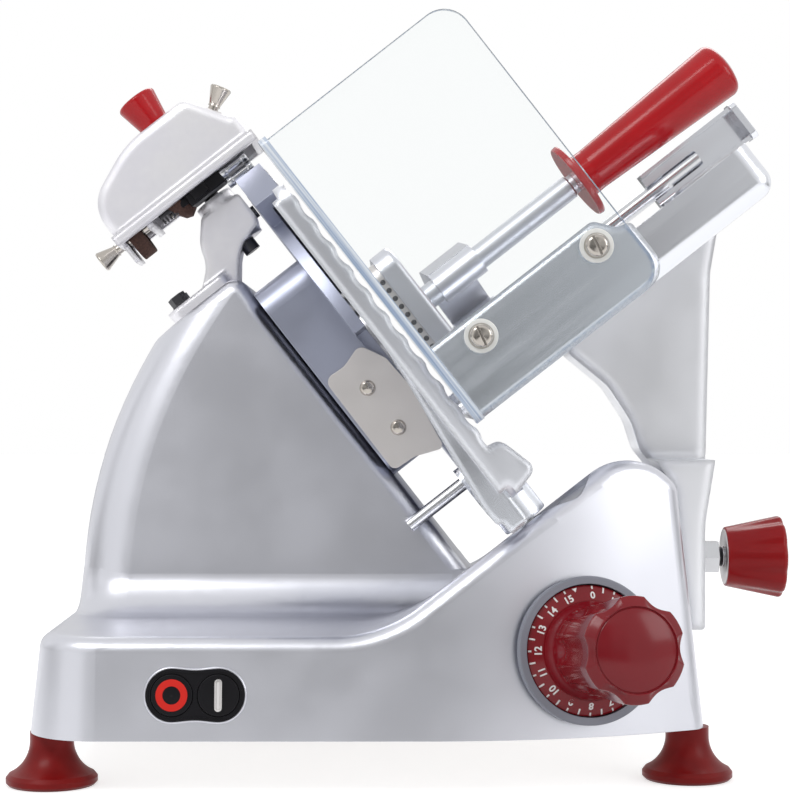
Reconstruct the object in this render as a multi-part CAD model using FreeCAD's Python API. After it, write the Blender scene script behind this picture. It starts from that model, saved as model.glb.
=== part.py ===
import FreeCAD, Part

import math
import os

from FreeCAD import Placement, Rotation, Vector

# Gravity-feed electric meat slicer, in millimetres, +Z up, front (operator's side) towards -Y.
# Names that end in _N and _U are places along the blade's axis and up the blade's plane,
# both measured from the middle of the blade, as is Y in a shape that is then leaned.
# At the end everything is set down so that the origin is on the table top, under the
# middle of the whole machine.
SET_DOWN = Vector(2.3, 1.0, 0)

# Blade and the frame that leans with it
BLADE_DIAMETER = 250.0
FEED_SLOPE = 38.0
BLADE_CENTRE = Vector(-13.9, 31.0, 237.2)
BLADE_Y = BLADE_CENTRE.y

# Base casting
FLOOR_GAP = 27.4
DECK_HEIGHT = 78.6
WALL = 5.0
WALL_DRAFT = math.tan(math.radians(6.0))
BASE_TOP = 215.0
BASE_FRONT_Y = -170.5
BASE_BACK_Y = 230.0
BASE_LEFT_X = -200.0
BASE_LEFT_BACK_X = -207.5
BASE_RIGHT_X = 148.5
BASE_CORNER_X = 72.0
BASE_CORNER_Y = -131.5
RAMP_U = -121.0
RAMP_FRONT_Y = -165.0
RAMP_FALL = 0.0885
RAMP_CREST_N = 80.0
RECESS_FLOOR_U = -129.0
RIM_RADIUS = 8.0

# Tower that holds the motor and carries the blade head
TOWER_FACE_N = -49.5
TOWER_TOP_U = 81.0
TOWER_HALF_DEPTH = 76.0
TOWER_LEAN = 0.085
TOWER_FLARE = 24.0
TOWER_LEFT_EDGE = ((40.0, -193.0), (96.0, -192.5), (128.0, -188.7), (160.0, -182.6),
                   (192.0, -171.8), (224.0, -156.5), (256.0, -137.0), (288.0, -113.0))

# Feet
FOOT_PLACES = (Vector(-189.5, -137.0, 0), Vector(140.5, -121.0, 0),
               Vector(-189.5, 198.0, 0), Vector(138.5, 198.0, 0))
FOOT_RADIUS = 23.5
FOOT_NECK_RADIUS = 11.25
FOOT_BOLT_TOP = 46.0

# Blade head, the casting between tower and blade
HEAD_FRONT_N = -18.0
HEAD_HALF_WIDTH = 78.0
HEAD_HALF_HEIGHT = 65.0
BACKING_N = -11.0
BACKING_RADIUS = 118.0
GUARD_INNER_RADIUS = 128.5
GUARD_OUTER_RADIUS = 137.0
GUARD_FRONT_N = -1.0
BEARING_RADIUS = 19.0
SHAFT_RADIUS = 10.0
BEARING_BACK_N = (-66.0, -34.0)
RUNNING_GAP = 0.05

# Drive
BLADE_PULLEY_RADIUS = 45.0
MOTOR_PULLEY_RADIUS = 15.0
BELT_FRONT_N = -74.0
BELT_BACK_N = -84.0
BELT_THICKNESS = 2.4
MOTOR_U = -92.0
MOTOR_RADIUS = 38.0
MOTOR_FRONT_N = -93.0
MOTOR_BACK_N = -156.0

# Switch panel on the front wall
SWITCH_X = -112.5
SWITCH_Z = 50.2
SWITCH_LOBE_RADIUS = 13.0
SWITCH_LOBE_SPACING = 11.7
SWITCH_WAIST = 12.1
BUTTON_RADIUS = 10.5

# Grommet in the left wall
GLAND_CENTRE = Vector(-199.6, -107.0, 42.4)
GLAND_AXIS = Vector(-1.0, -0.019, WALL_DRAFT)

# Slice thickness dial
DIAL_CENTRE = Vector(85.2, -159.0, 71.5)
DIAL_TURN = 14.0
DIAL_TILT = 7.0
DIAL_BEZEL_RADIUS = 37.5
DIAL_DISC_RADIUS = 33.0
DIAL_KNOB_END = 70.0
DIAL_LOBES = 6
DIAL_SHAFT_RADIUS = 6.0

# Gauge plate and what it slides on
GAUGE_FRONT_Y = -215.0
GAUGE_TOP_U = 88.0
GAUGE_BOTTOM_U = -106.0
GAUGE_BACK_N = -7.0
GAUGE_FLUTE_PITCH = 14.5
GAUGE_FLUTE_RADIUS = 13.0
GAUGE_FLUTE_DEPTH = 1.3
GAUGE_BAR_RADIUS = 7.0
GAUGE_BAR_U = -144.5
GAUGE_BAR_Y = -145.0
GUIDE_PIN_RADIUS = 3.75
GUIDE_PIN_U = -92.0
GUIDE_PIN_Y = -84.0

# Carriage and its track
CARRIAGE_TRAVEL = 225.0
TRACK_X = 98.0
TRACK_Z = 92.0
TRACK_RADIUS = 9.0
STUD_Y = -75.0
STUD_Z = 110.0
STUD_RADIUS = 5.0
SLOT_HALF_HEIGHT = 6.5
ARM_OUTER_X = 157.5
ARM_BOTTOM_Z = 72.0
KNOB_START_X = 172.6
KNOB_LENGTH = 34.8
TRAY_FRONT_Y = -222.0
TRAY_BACK_Y = 15.0
TRAY_FLOOR_U = -65.0
TRAY_RIM_U = -38.0
TRAY_START_N = 3.0
TRAY_END_N = 191.0
TRAY_SHEET = 3.0

GUARD_SCREW_N = (29.0, 100.0)

# Lugs inside the base that hold the two slide bars
TRACK_LUG_Y = ((-102.0, -90.0), (213.0, 225.5))
TRACK_END_Y = 220.0
GAUGE_LUG_N = ((-60.0, -48.0), (26.0, 38.0))

# Pusher
GUIDE_BAR_Y = 22.0
GUIDE_BAR_U = -29.0
GUIDE_BAR_RADIUS = 5.0
GUIDE_BAR_END_N = 246.0
PUSHER_Y = -100.0
PUSHER_U = 1.5
PUSHER_ROD_RADIUS = 6.8
PLATE_BACK_N = 24.5
PLATE_FRONT_N = 12.5

# Sharpener
POST_N = -35.0
POST_RADIUS = 5.0
COVER_LEFT_N = -94.0
COVER_RIGHT_N = 8.0
COVER_BOTTOM_U = 138.5
COVER_HALF_WIDTH = 30.0
GRINDER_DIRECTION = Vector(0.857, 0, 0.515)
GRINDER_BASE = Vector(-3.5, -13.0, 169.8)
GRINDER_REACH = 60.0
DEBURRER_U = 141.5
STONE_TRAVEL = 2.5
TULIP_START = 3.4
BRACKET_BOLT_N = -88.0
BRACKET_BOLT_Y = (-9.0, 9.0)

# Slice deflector
DEFLECTOR_SCREW_U = (-17.0, -45.0)


def leaning():
    """Placement that turns local X into the blade's axis and local Z up the blade's plane."""
    return Placement(BLADE_CENTRE, Rotation(Vector(0, 1, 0), -FEED_SLOPE))


def lean(shape):
    """Move a shape from the blade's own frame into the machine's frame."""
    moved = shape.copy()
    moved.Placement = leaning().multiply(moved.Placement)
    return moved


def rounded_wire(corners):
    """Closed wire in the XY plane through (x, y, radius) corners, with tangent arcs."""
    count = len(corners)
    joints = []
    for index in range(count):
        before = corners[index - 1]
        x, y, radius = corners[index]
        after = corners[(index + 1) % count]
        corner = Vector(x, y, 0)
        back = (Vector(before[0], before[1], 0) - corner).normalize()
        ahead = (Vector(after[0], after[1], 0) - corner).normalize()
        half_angle = back.getAngle(ahead) / 2.0
        reach = radius / math.tan(half_angle)
        middle = (back + ahead).normalize()
        depth = radius / math.sin(half_angle) - radius
        joints.append((corner + back * reach, corner + middle * depth, corner + ahead * reach))
    edges = []
    for index in range(count):
        start, middle, end = joints[index]
        if start.distanceToPoint(end) > 1e-6:
            edges.append(Part.Arc(start, middle, end).toShape())
        next_start = joints[(index + 1) % count][0]
        if end.distanceToPoint(next_start) > 1e-6:
            edges.append(Part.LineSegment(end, next_start).toShape())
    return Part.Wire(edges)


def slab(corners, bottom, top):
    """Rounded outline in the XY plane, from one height to another."""
    face = Part.Face(rounded_wire(corners))
    face.translate(Vector(0, 0, bottom))
    return face.extrude(Vector(0, 0, top - bottom))


def prism(corners, front, back):
    """Rounded outline in the XZ plane, from one Y to another."""
    shape = slab(corners, -back, -front)
    shape.rotate(Vector(), Vector(1, 0, 0), 90)
    return shape


def board(corners, left, right):
    """Rounded outline in the YZ plane, from one X to another."""
    shape = slab(corners, left, right)
    shape.rotate(Vector(), Vector(1, 1, 1), 120)
    return shape


def oblong(x0, x1, y0, y1, radius):
    """Corners of a rectangle with one radius all round."""
    return [(x0, y0, radius), (x1, y0, radius), (x1, y1, radius), (x0, y1, radius)]


def block(x0, x1, y0, y1, z0, z1):
    """Plain rectangular solid between two corners."""
    return Part.makeBox(x1 - x0, y1 - y0, z1 - z0, Vector(x0, y0, z0))


def rod(start, end, radius):
    """Round bar between two points."""
    along = end - start
    return Part.makeCylinder(radius, along.Length, start, along)


def turned(profile, base=Vector(), axis=Vector(0, 0, 1)):
    """Solid of revolution from (radius, height, corner radius) points about the given axis."""
    wire = rounded_wire(profile)
    wire.rotate(Vector(), Vector(1, 0, 0), 90)
    solid = Part.Face(wire).revolve(Vector(), Vector(0, 0, 1), 360)
    solid.Placement = Placement(base, Rotation(Vector(0, 0, 1), axis)).multiply(solid.Placement)
    return solid


def hexagon(across, height, base, axis=Vector(0, 0, 1)):
    """Hexagonal prism of the given width across flats."""
    radius = across / math.sqrt(3.0)
    corners = [(radius * math.cos(math.radians(60 * k)), radius * math.sin(math.radians(60 * k)), 0)
               for k in range(6)]
    solid = slab(corners, 0, height)
    solid.Placement = Placement(base, Rotation(Vector(0, 0, 1), axis))
    return solid


def soften(solid, radius, wanted):
    """Round the edges for which wanted(edge) is true."""
    edges = [edge for edge in solid.Edges if wanted(edge)]
    return solid.makeFillet(radius, edges)


def base_plan(height, inset):
    """Plan outline of the base at a height, drawn in by its draft and by the inset."""
    shift = WALL_DRAFT * (height - FLOOR_GAP) + inset
    corners = [(BASE_LEFT_X, BASE_FRONT_Y, 38.0 - shift), (BASE_CORNER_X, BASE_FRONT_Y, 285.0 - 2 * shift),
               (BASE_RIGHT_X, BASE_CORNER_Y, 13.0 - 0.2 * shift), (BASE_RIGHT_X, BASE_BACK_Y, 34.0 - shift),
               (BASE_LEFT_BACK_X, BASE_BACK_Y, 34.0 - shift)]
    drawn_in = []
    for index in range(len(corners)):
        x, y, radius = corners[index]
        before = Vector(*corners[index - 1][:2], 0)
        after = Vector(*corners[(index + 1) % len(corners)][:2], 0)
        here = Vector(x, y, 0)
        first = (here - before).normalize()
        second = (after - here).normalize()
        turn = first.getAngle(second)
        inward_first = Vector(-first.y, first.x, 0)
        inward_second = Vector(-second.y, second.x, 0)
        middle = (inward_first + inward_second).normalize()
        moved = here + middle * (shift / math.cos(turn / 2.0))
        drawn_in.append((moved.x, moved.y, radius))
    wire = rounded_wire(drawn_in)
    wire.translate(Vector(0, 0, height))
    return wire


def ramp_profile(depth, inset):
    """Outline of deck and ramp at a place from front to back; the ramp falls towards the back."""
    ramp_u = RAMP_U - RAMP_FALL * (depth - RAMP_FRONT_Y)
    crest = leaning().multVec(Vector(RAMP_CREST_N, 0, ramp_u))
    start_x = crest.x - (crest.z - DECK_HEIGHT) / math.tan(math.radians(FEED_SLOPE))
    outline = [(-260.0, 0.0, 0.0), (175.0, 0.0, 0.0), (161.5, DECK_HEIGHT, 0.0),
               (crest.x, crest.z, 32.0), (start_x, DECK_HEIGHT, 70.0), (-260.0, DECK_HEIGHT, 0.0)]
    wire = rounded_wire(outline)
    if inset:
        wire = Part.Face(wire).makeOffset2D(-inset).OuterWire
    wire.rotate(Vector(), Vector(1, 0, 0), 90)
    wire.translate(Vector(0, depth, 0))
    return wire


def base_block(inset):
    """Deck and ramp of the base, drawn in by the inset on every outer side."""
    bottom = FLOOR_GAP - (10.0 if inset else 0.0)
    drafted = Part.makeLoft([base_plan(bottom, inset), base_plan(BASE_TOP, inset)], True, True)
    profile = Part.makeLoft([ramp_profile(-260.0, inset), ramp_profile(260.0, inset)], True, True)
    if inset:
        profile = profile.fuse(block(-250, 165, -260, 260, -20, DECK_HEIGHT - inset - 1))
    return drafted.common(profile)


def tower_section(height, inset, flare_radius):
    """Rounded rectangle of the tower at a height, flared where it grows out of the deck."""
    for (low, low_x), (high, high_x) in zip(TOWER_LEFT_EDGE, TOWER_LEFT_EDGE[1:]):
        if low <= height <= high:
            left = low_x + (high_x - low_x) * (height - low) / (high - low)
    rise = min(max(height - DECK_HEIGHT, 0.0), flare_radius)
    flare = flare_radius - math.sqrt(flare_radius ** 2 - (flare_radius - rise) ** 2)
    half = TOWER_HALF_DEPTH - TOWER_LEAN * (height - DECK_HEIGHT) + flare - inset
    corners = oblong(left + inset, 95.0, BLADE_Y - half, BLADE_Y + half, 1.0)
    corners[0] = corners[0][:2] + (30.0 - inset,)
    corners[3] = corners[3][:2] + (30.0 - inset,)
    wire = rounded_wire(corners)
    wire.translate(Vector(0, 0, height))
    return wire


def tower_limit(inset):
    """Everything behind the tower's face and under its sloping top."""
    return lean(block(-400, TOWER_FACE_N - inset, -300, 300, -400, TOWER_TOP_U - inset))


def tower_shaft(inset):
    """Tower of the base, cut off square to the blade at its face and along the slope on top."""
    hollow = inset > 0.0
    heights = [40.0, 128.0, 192.0, 288.0] if hollow else [40.0, 102.6, 160.0, 224.0, 288.0]
    sections = [tower_section(z, inset, 0.0) for z in heights]
    return Part.makeLoft(sections, True, hollow).common(tower_limit(inset))


def tower_skirt():
    """Flare by which the tower grows out of the deck."""
    heights = [60.0, 78.6, 81.0, 86.0, 92.0, 102.6]
    sections = [tower_section(z, 0.0, TOWER_FLARE) for z in heights]
    return Part.makeLoft(sections, True, False).common(tower_limit(0.0))


def middle_of(edge):
    """Point half way along an edge."""
    return edge.valueAt((edge.FirstParameter + edge.LastParameter) / 2.0)


def outer_form():
    """Outside of the base casting: deck, ramp and tower grown together."""
    def on_rim(edge):
        low = min(vertex.Z for vertex in edge.Vertexes) > DECK_HEIGHT - 0.5
        middle = middle_of(edge)
        return low and (middle.y < -100.0 or middle.y > 200.0 or middle.x < -150.0)

    def on_tower_corner(edge):
        local = leaning().inverse().multVec(middle_of(edge))
        on_face = abs(local.x - TOWER_FACE_N) < 0.1 and middle_of(edge).z > 50.0
        return on_face or abs(local.z - TOWER_TOP_U) < 0.1

    deck = soften(base_block(0.0), RIM_RADIUS, on_rim)
    shaft = soften(tower_shaft(0.0), 9.0, on_tower_corner)
    return deck.multiFuse([shaft, tower_skirt()])


def cover_screw_places():
    """Middle of each pillar that the bottom cover is screwed to."""
    return [Vector(x, y, 0) for y in (-154.0, 216.0) for x in (-70.0, 35.0)]


def dial_frame():
    """Placement with local Z pointing out of the dial and local X to the right across it."""
    outward = Rotation(Vector(0, 0, 1), DIAL_TURN).multiply(Rotation(Vector(1, 0, 0), 90 - DIAL_TILT))
    return Placement(DIAL_CENTRE, outward)


def at_dial(shape):
    """Move a shape from the dial's own frame into the machine's frame."""
    moved = shape.copy()
    moved.Placement = dial_frame().multiply(moved.Placement)
    return moved


def switch_frame():
    """Placement on the front wall with local Z pointing out of the switch panel."""
    lean_back = math.degrees(math.atan(WALL_DRAFT))
    front_y = BASE_FRONT_Y + WALL_DRAFT * (SWITCH_Z - FLOOR_GAP)
    return Placement(Vector(SWITCH_X, front_y, SWITCH_Z), Rotation(Vector(1, 0, 0), 90 - lean_back))


def at_switch(shape):
    """Move a shape from the switch panel's own frame into the machine's frame."""
    moved = shape.copy()
    moved.Placement = switch_frame().multiply(moved.Placement)
    return moved


def base_openings():
    """Everything that is cut through the walls of the base casting."""
    bolt_top = Vector(0, 0, FOOT_BOLT_TOP + 2)
    cuts = [rod(place + Vector(0, 0, 20), place + bolt_top, 4.0) for place in FOOT_PLACES]
    cuts += [rod(place + Vector(0, 0, 20), place + Vector(0, 0, 46), 2.0) for place in cover_screw_places()]
    for side in (-1, 1):
        centre = Vector(side * SWITCH_LOBE_SPACING, 0, 0)
        cuts.append(at_switch(rod(centre + Vector(0, 0, -12), centre + Vector(0, 0, 3), BUTTON_RADIUS + 0.6)))
    cuts.append(at_dial(rod(Vector(0, 0, -16), Vector(0, 0, 5), DIAL_BEZEL_RADIUS - 3.0)))
    cuts.append(at_dial(rod(Vector(0, 0, -1), Vector(0, 0, 12), DIAL_BEZEL_RADIUS + 0.8)))
    slot_front = BLADE_Y + STUD_Y - 13.0
    slot_back = BLADE_Y + STUD_Y + CARRIAGE_TRAVEL + 13.0
    slot = oblong(slot_front, slot_back, STUD_Z - SLOT_HALF_HEIGHT, STUD_Z + SLOT_HALF_HEIGHT, 6.4)
    cuts.append(board(slot, 125.0, 165.0))
    cuts.append(lean(slab(oblong(-50.0, 36.0, -178.0, -131.0, 23.0), RECESS_FLOOR_U, RAMP_U + 8.0)))
    cuts.append(lean(slab(oblong(-33.0, 2.0, -154.0, -136.0, 6.0), RECESS_FLOOR_U - 8.0, RAMP_U)))
    cuts.append(rod(GLAND_CENTRE - GLAND_AXIS * 15.0, GLAND_CENTRE + GLAND_AXIS * 15.0, 6.0))
    cuts.append(lean(rod(Vector(-62, 0, 0), Vector(-44, 0, 0), BEARING_RADIUS + 7.5)))
    cuts.append(lean(rod(Vector(-62, GUIDE_PIN_Y, GUIDE_PIN_U), Vector(-44, GUIDE_PIN_Y, GUIDE_PIN_U),
                         GUIDE_PIN_RADIUS)))
    for across in BRACKET_BOLT_Y:
        cuts.append(lean(rod(Vector(BRACKET_BOLT_N, across, 60), Vector(BRACKET_BOLT_N, across, 90), 3.0)))
    return cuts


def base_lugs(outer):
    """Bosses and lugs cast inside the base, kept within its outer form."""
    lugs = [rod(place + Vector(0, 0, FLOOR_GAP), place + Vector(0, 0, 60), 13.0) for place in FOOT_PLACES]
    lugs += [rod(place + Vector(0, 0, 30.9), place + Vector(0, 0, 76), 6.0) for place in cover_screw_places()]
    for front, back in TRACK_LUG_Y:
        lugs.append(block(TRACK_X - 15, 146, front, back, TRACK_Z - 15, TRACK_Z + 15))
    for start, end in GAUGE_LUG_N:
        lugs.append(lean(block(start, end, GAUGE_BAR_Y - 12, GAUGE_BAR_Y + 12, GAUGE_BAR_U - 11, RAMP_U)))
    lugs.append(lean(block(-62, TOWER_FACE_N - 1, GUIDE_PIN_Y - 8, GUIDE_PIN_Y + 8,
                           GUIDE_PIN_U - 8, GUIDE_PIN_U + 8)))
    lugs.append(at_switch(block(-12.0, 12.0, -8.0, 32.0, -38.0, -30.0)))
    lugs.append(lean(slab(oblong(-54.0, 40.0, -182.0, -127.0, 26.0), RECESS_FLOOR_U - 5.0, RAMP_U)))
    return [lug.common(outer) for lug in lugs]


def base_housing():
    """Base casting: one thin-walled shell with its bosses, lugs, slots and holes."""
    outer = outer_form()
    shell = outer.cut(base_block(WALL)).cut(tower_shaft(WALL))
    casting = shell.multiFuse(base_lugs(outer))
    bores = [rod(Vector(TRACK_X, -110, TRACK_Z), Vector(TRACK_X, TRACK_END_Y, TRACK_Z), TRACK_RADIUS),
             lean(rod(Vector(-70, GAUGE_BAR_Y, GAUGE_BAR_U), Vector(60, GAUGE_BAR_Y, GAUGE_BAR_U),
                      GAUGE_BAR_RADIUS))]
    return casting.cut(base_openings() + bores)


def foot(place):
    """Rubber foot: wide rim on the table, flared up to a straight neck, open below for its bolt."""
    rim = [Vector(7.4, 0, 0), Vector(FOOT_RADIUS - 1.5, 0, 0), Vector(FOOT_RADIUS, 0, 1.5),
           Vector(FOOT_RADIUS, 0, 4.0), Vector(FOOT_RADIUS - 1.6, 0, 6.0)]
    flare = Part.Arc(rim[-1], Vector(14.2, 0, 12.6), Vector(FOOT_NECK_RADIUS, 0, 23.0)).toShape()
    neck = [Vector(FOOT_NECK_RADIUS, 0, 23.0), Vector(FOOT_NECK_RADIUS, 0, FLOOR_GAP),
            Vector(4.1, 0, FLOOR_GAP), Vector(4.1, 0, 11.0), Vector(7.4, 0, 11.0), Vector(7.4, 0, 0)]
    wire = Part.Wire([Part.makePolygon(rim).Edges[k] for k in range(4)] + [flare]
                     + [Part.makePolygon(neck).Edges[k] for k in range(5)])
    solid = Part.Face(wire).revolve(Vector(), Vector(0, 0, 1), 360)
    solid.translate(place)
    return solid


def base_screws():
    """One bolt up into the casting for each foot, and the screws under the bottom cover."""
    screws = []
    for place in FOOT_PLACES:
        head = hexagon(12.0, 5.3, place + Vector(0, 0, 5.7))
        screws.append(head.fuse(rod(place + Vector(0, 0, 11.0), place + Vector(0, 0, FOOT_BOLT_TOP), 3.95)))
    for place in cover_screw_places():
        head = turned([(0, 26.9, 0), (4.0, 26.9, 0), (4.0, 29.3, 0), (0, 29.3, 0)], place)
        screws.append(head.fuse(rod(place + Vector(0, 0, 29.3), place + Vector(0, 0, 42), 1.95)))
    return Part.makeCompound(screws)


def bottom_cover():
    """Sheet that closes the base from below, with cooling slots under the motor."""
    sheet = Part.Face(base_plan(29.0, WALL + 0.6)).extrude(Vector(0, 0, 1.6))
    sheet.translate(Vector(0, 0, 0.3))
    cuts = [rod(place + Vector(0, 0, 20), place + Vector(0, 0, 40), 14.5) for place in FOOT_PLACES]
    cuts += [rod(place + Vector(0, 0, 20), place + Vector(0, 0, 40), 2.2) for place in cover_screw_places()]
    for row in range(9):
        x = -150.0 + 14.0 * row
        cuts.append(slab(oblong(x, x + 6.0, 0.0, 62.0, 2.9), 20, 40))
    return sheet.cut(cuts)


def cable_gland():
    """Closed rubber grommet in the left wall."""
    profile = [(0, -9.0, 0), (5.9, -9.0, 0), (5.9, 0.2, 0), (8.5, 0.2, 0), (8.0, 3.0, 1.0), (0, 3.6, 0)]
    return turned(profile, GLAND_CENTRE, GLAND_AXIS)


def switch_outline(inset):
    """Figure of eight of the switch panel as a face in its own XY plane."""
    lobes = [Part.Face(Part.Wire(Part.makeCircle(SWITCH_LOBE_RADIUS - inset, Vector(side, 0, 0))))
             for side in (-SWITCH_LOBE_SPACING, SWITCH_LOBE_SPACING)]
    reach, shoulder, dip = 9.0, SWITCH_LOBE_RADIUS - 0.3 - inset, SWITCH_WAIST - inset
    upper = Part.Arc(Vector(reach, shoulder, 0), Vector(0, dip, 0), Vector(-reach, shoulder, 0)).toShape()
    lower = Part.Arc(Vector(-reach, -shoulder, 0), Vector(0, -dip, 0), Vector(reach, -shoulder, 0)).toShape()
    left = Part.LineSegment(Vector(-reach, shoulder, 0), Vector(-reach, -shoulder, 0)).toShape()
    right = Part.LineSegment(Vector(reach, -shoulder, 0), Vector(reach, shoulder, 0)).toShape()
    waist = Part.Face(Part.Wire([upper, left, lower, right]))
    return lobes[0].multiFuse([lobes[1], waist]).removeSplitter()


def switch_panel():
    """Rubber-faced panel round the two buttons, with a raised edge."""
    panel = switch_outline(0.0).extrude(Vector(0, 0, 1.6))
    panel = panel.cut(switch_outline(1.2).extrude(Vector(0, 0, 2.0)).translated(Vector(0, 0, 1.2)))
    sides = (Vector(-SWITCH_LOBE_SPACING, 0, -1), Vector(SWITCH_LOBE_SPACING, 0, -1))
    return at_switch(panel.cut([rod(side, side + Vector(0, 0, 4), BUTTON_RADIUS + 0.3) for side in sides]))


def push_button(side):
    """Button with a slightly domed face and a stem towards its contact."""
    face = turned([(0, -3.0, 0), (BUTTON_RADIUS, -3.0, 0), (BUTTON_RADIUS, 1.7, 0.5), (0, 2.2, 0)])
    stem = rod(Vector(0, 0, -9.0), Vector(0, 0, -3.0), 3.0)
    return at_switch(face.fuse(stem).translated(Vector(side * SWITCH_LOBE_SPACING, 0, 0)))


def switch_block():
    """Contact block behind the two buttons, on a post cast into the base."""
    body = slab(oblong(-26.0, 26.0, -13.0, 13.0, 3.0), -30.0, -11.5)
    return at_switch(body)


def dial_bezel():
    """Grey ring round the dial, with the plate that carries the dial's shaft."""
    flange = turned([(DIAL_DISC_RADIUS + 0.5, -1.0, 0), (DIAL_BEZEL_RADIUS, -1.0, 0),
                     (DIAL_BEZEL_RADIUS, 3.0, 0.8), (DIAL_DISC_RADIUS + 0.5, 3.0, 0)])
    cup = turned([(DIAL_SHAFT_RADIUS + RUNNING_GAP, -9.0, 0), (DIAL_BEZEL_RADIUS - 3.2, -9.0, 0),
                  (DIAL_BEZEL_RADIUS - 3.2, -0.9, 0), (DIAL_DISC_RADIUS + 0.5, -0.9, 0),
                  (DIAL_DISC_RADIUS + 0.5, -5.0, 0), (DIAL_SHAFT_RADIUS + RUNNING_GAP, -5.0, 0)])
    return at_dial(flange.fuse(cup).removeSplitter())


def dial_disc():
    """Numbered disc with a coned edge."""
    profile = [(DIAL_SHAFT_RADIUS, -4.0, 0), (DIAL_DISC_RADIUS, -4.0, 0), (DIAL_DISC_RADIUS, 1.4, 0.6),
               (25.5, 4.6, 0), (DIAL_SHAFT_RADIUS, 4.6, 0)]
    return at_dial(turned(profile))


def polar(angle, radius, height):
    """Point round the Z axis at an angle in radians."""
    return Vector(radius * math.cos(angle), radius * math.sin(angle), height)


def lobed_wire(radius, dip, height):
    """Closed outline with one shallow dip between each pair of lobes."""
    edges = []
    step = 2.0 * math.pi / DIAL_LOBES
    crest = 0.24 * step
    for lobe in range(DIAL_LOBES):
        start = lobe * step
        edges.append(Part.Arc(polar(start - crest, radius, height), polar(start, radius + 0.25, height),
                              polar(start + crest, radius, height)).toShape())
        edges.append(Part.Arc(polar(start + crest, radius, height),
                              polar(start + step / 2, radius - dip, height),
                              polar(start + step - crest, radius, height)).toShape())
    return Part.Wire(edges)


def dial_knob():
    """Six-lobed knob that grows wider towards its domed front, with a ring groove round the dome."""
    shoulder = lobed_wire(25.8, 2.7, DIAL_KNOB_END - 3.5)
    grip = Part.makeLoft([lobed_wire(22.6, 0.8, 4.6), lobed_wire(22.2, 2.2, 22.0),
                          lobed_wire(25.4, 2.7, 56.0), shoulder], True, False)
    bevel = Part.makeLoft([shoulder, lobed_wire(24.2, 2.5, DIAL_KNOB_END - 1.3)], True, True)
    crown = turned([(0, 50.0, 0), (21.3, 50.0, 0), (21.3, DIAL_KNOB_END - 0.6, 0), (20.5, DIAL_KNOB_END, 0),
                    (20.0, DIAL_KNOB_END - 1.0, 0), (19.3, DIAL_KNOB_END, 0), (0, DIAL_KNOB_END + 2.0, 0)])
    bore = rod(Vector(0, 0, 0), Vector(0, 0, 40), DIAL_SHAFT_RADIUS)
    return at_dial(grip.multiFuse([bevel, crown]).cut(bore).removeSplitter())


def dial_shaft():
    """Steel spindle of the dial, with the face cam that moves the gauge plate at its inner end."""
    spindle = rod(Vector(0, 0, -30), Vector(0, 0, 40), DIAL_SHAFT_RADIUS)
    cam = turned([(0, -34.0, 0), (22.0, -34.0, 0), (22.0, -27.0, 0.8), (0, -27.0, 0)])
    rim = turned([(17.0, -37.0, 0), (22.0, -37.0, 0), (22.0, -34.0, 0), (17.0, -34.0, 0)])
    return at_dial(spindle.multiFuse([cam, rim]).removeSplitter())


def ring_sector(inner, outer, back_n, front_n, start_deg, sweep_deg):
    """Part of a ring about the blade's axis, its angle measured from +Y towards +U."""
    face = Part.Face(Part.makePolygon([Vector(inner, 0, back_n), Vector(outer, 0, back_n),
                                       Vector(outer, 0, front_n), Vector(inner, 0, front_n),
                                       Vector(inner, 0, back_n)]))
    sector = face.revolve(Vector(), Vector(0, 0, 1), sweep_deg)
    sector.rotate(Vector(), Vector(0, 0, 1), start_deg)
    sector.rotate(Vector(), Vector(1, 1, 1), 120)
    return sector


def blade_head():
    """Casting between tower and blade: hollow neck, backing disc, guard ring and bearing tube."""
    half_y, half_u = HEAD_HALF_WIDTH, HEAD_HALF_HEIGHT
    neck = board(oblong(-half_y, half_y, -half_u, half_u, 16.0), TOWER_FACE_N, HEAD_FRONT_N)
    pocket = board(oblong(-half_y + 6, half_y - 6, -half_u + 6, half_u - 6, 10.0),
                   TOWER_FACE_N - 1, HEAD_FRONT_N - 6)
    backing = rod(Vector(HEAD_FRONT_N, 0, 0), Vector(BACKING_N, 0, 0), BACKING_RADIUS)
    cutting_side = block(-60, 10, -160, -66, -160, 10)
    backing = backing.cut(cutting_side)
    rear = ring_sector(BACKING_RADIUS - 6, GUARD_OUTER_RADIUS, HEAD_FRONT_N, BACKING_N, -57, 120)
    rear_rim = ring_sector(GUARD_INNER_RADIUS, GUARD_OUTER_RADIUS, HEAD_FRONT_N, GUARD_FRONT_N, -57, 120)
    front = ring_sector(BACKING_RADIUS - 6, GUARD_OUTER_RADIUS, HEAD_FRONT_N, BACKING_N, 117, 16)
    front_rim = ring_sector(GUARD_INNER_RADIUS, GUARD_OUTER_RADIUS, HEAD_FRONT_N, GUARD_FRONT_N, 117, 16)
    tube = rod(Vector(-70, 0, 0), Vector(HEAD_FRONT_N - 1, 0, 0), BEARING_RADIUS + 7.0)
    solid = neck.cut(pocket).multiFuse([backing, rear, rear_rim, front, front_rim, tube])
    hub_room = rod(Vector(HEAD_FRONT_N, 0, 0), Vector(0, 0, 0), 44.0)
    bore = rod(Vector(-80, 0, 0), Vector(10, 0, 0), BEARING_RADIUS)
    cuts = [rod(Vector(-31, -half_y - 1, u), Vector(-31, -half_y + 7, u), 1.9) for u in DEFLECTOR_SCREW_U]
    return lean(solid.cut(cuts + [hub_room, bore]).removeSplitter())


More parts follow.
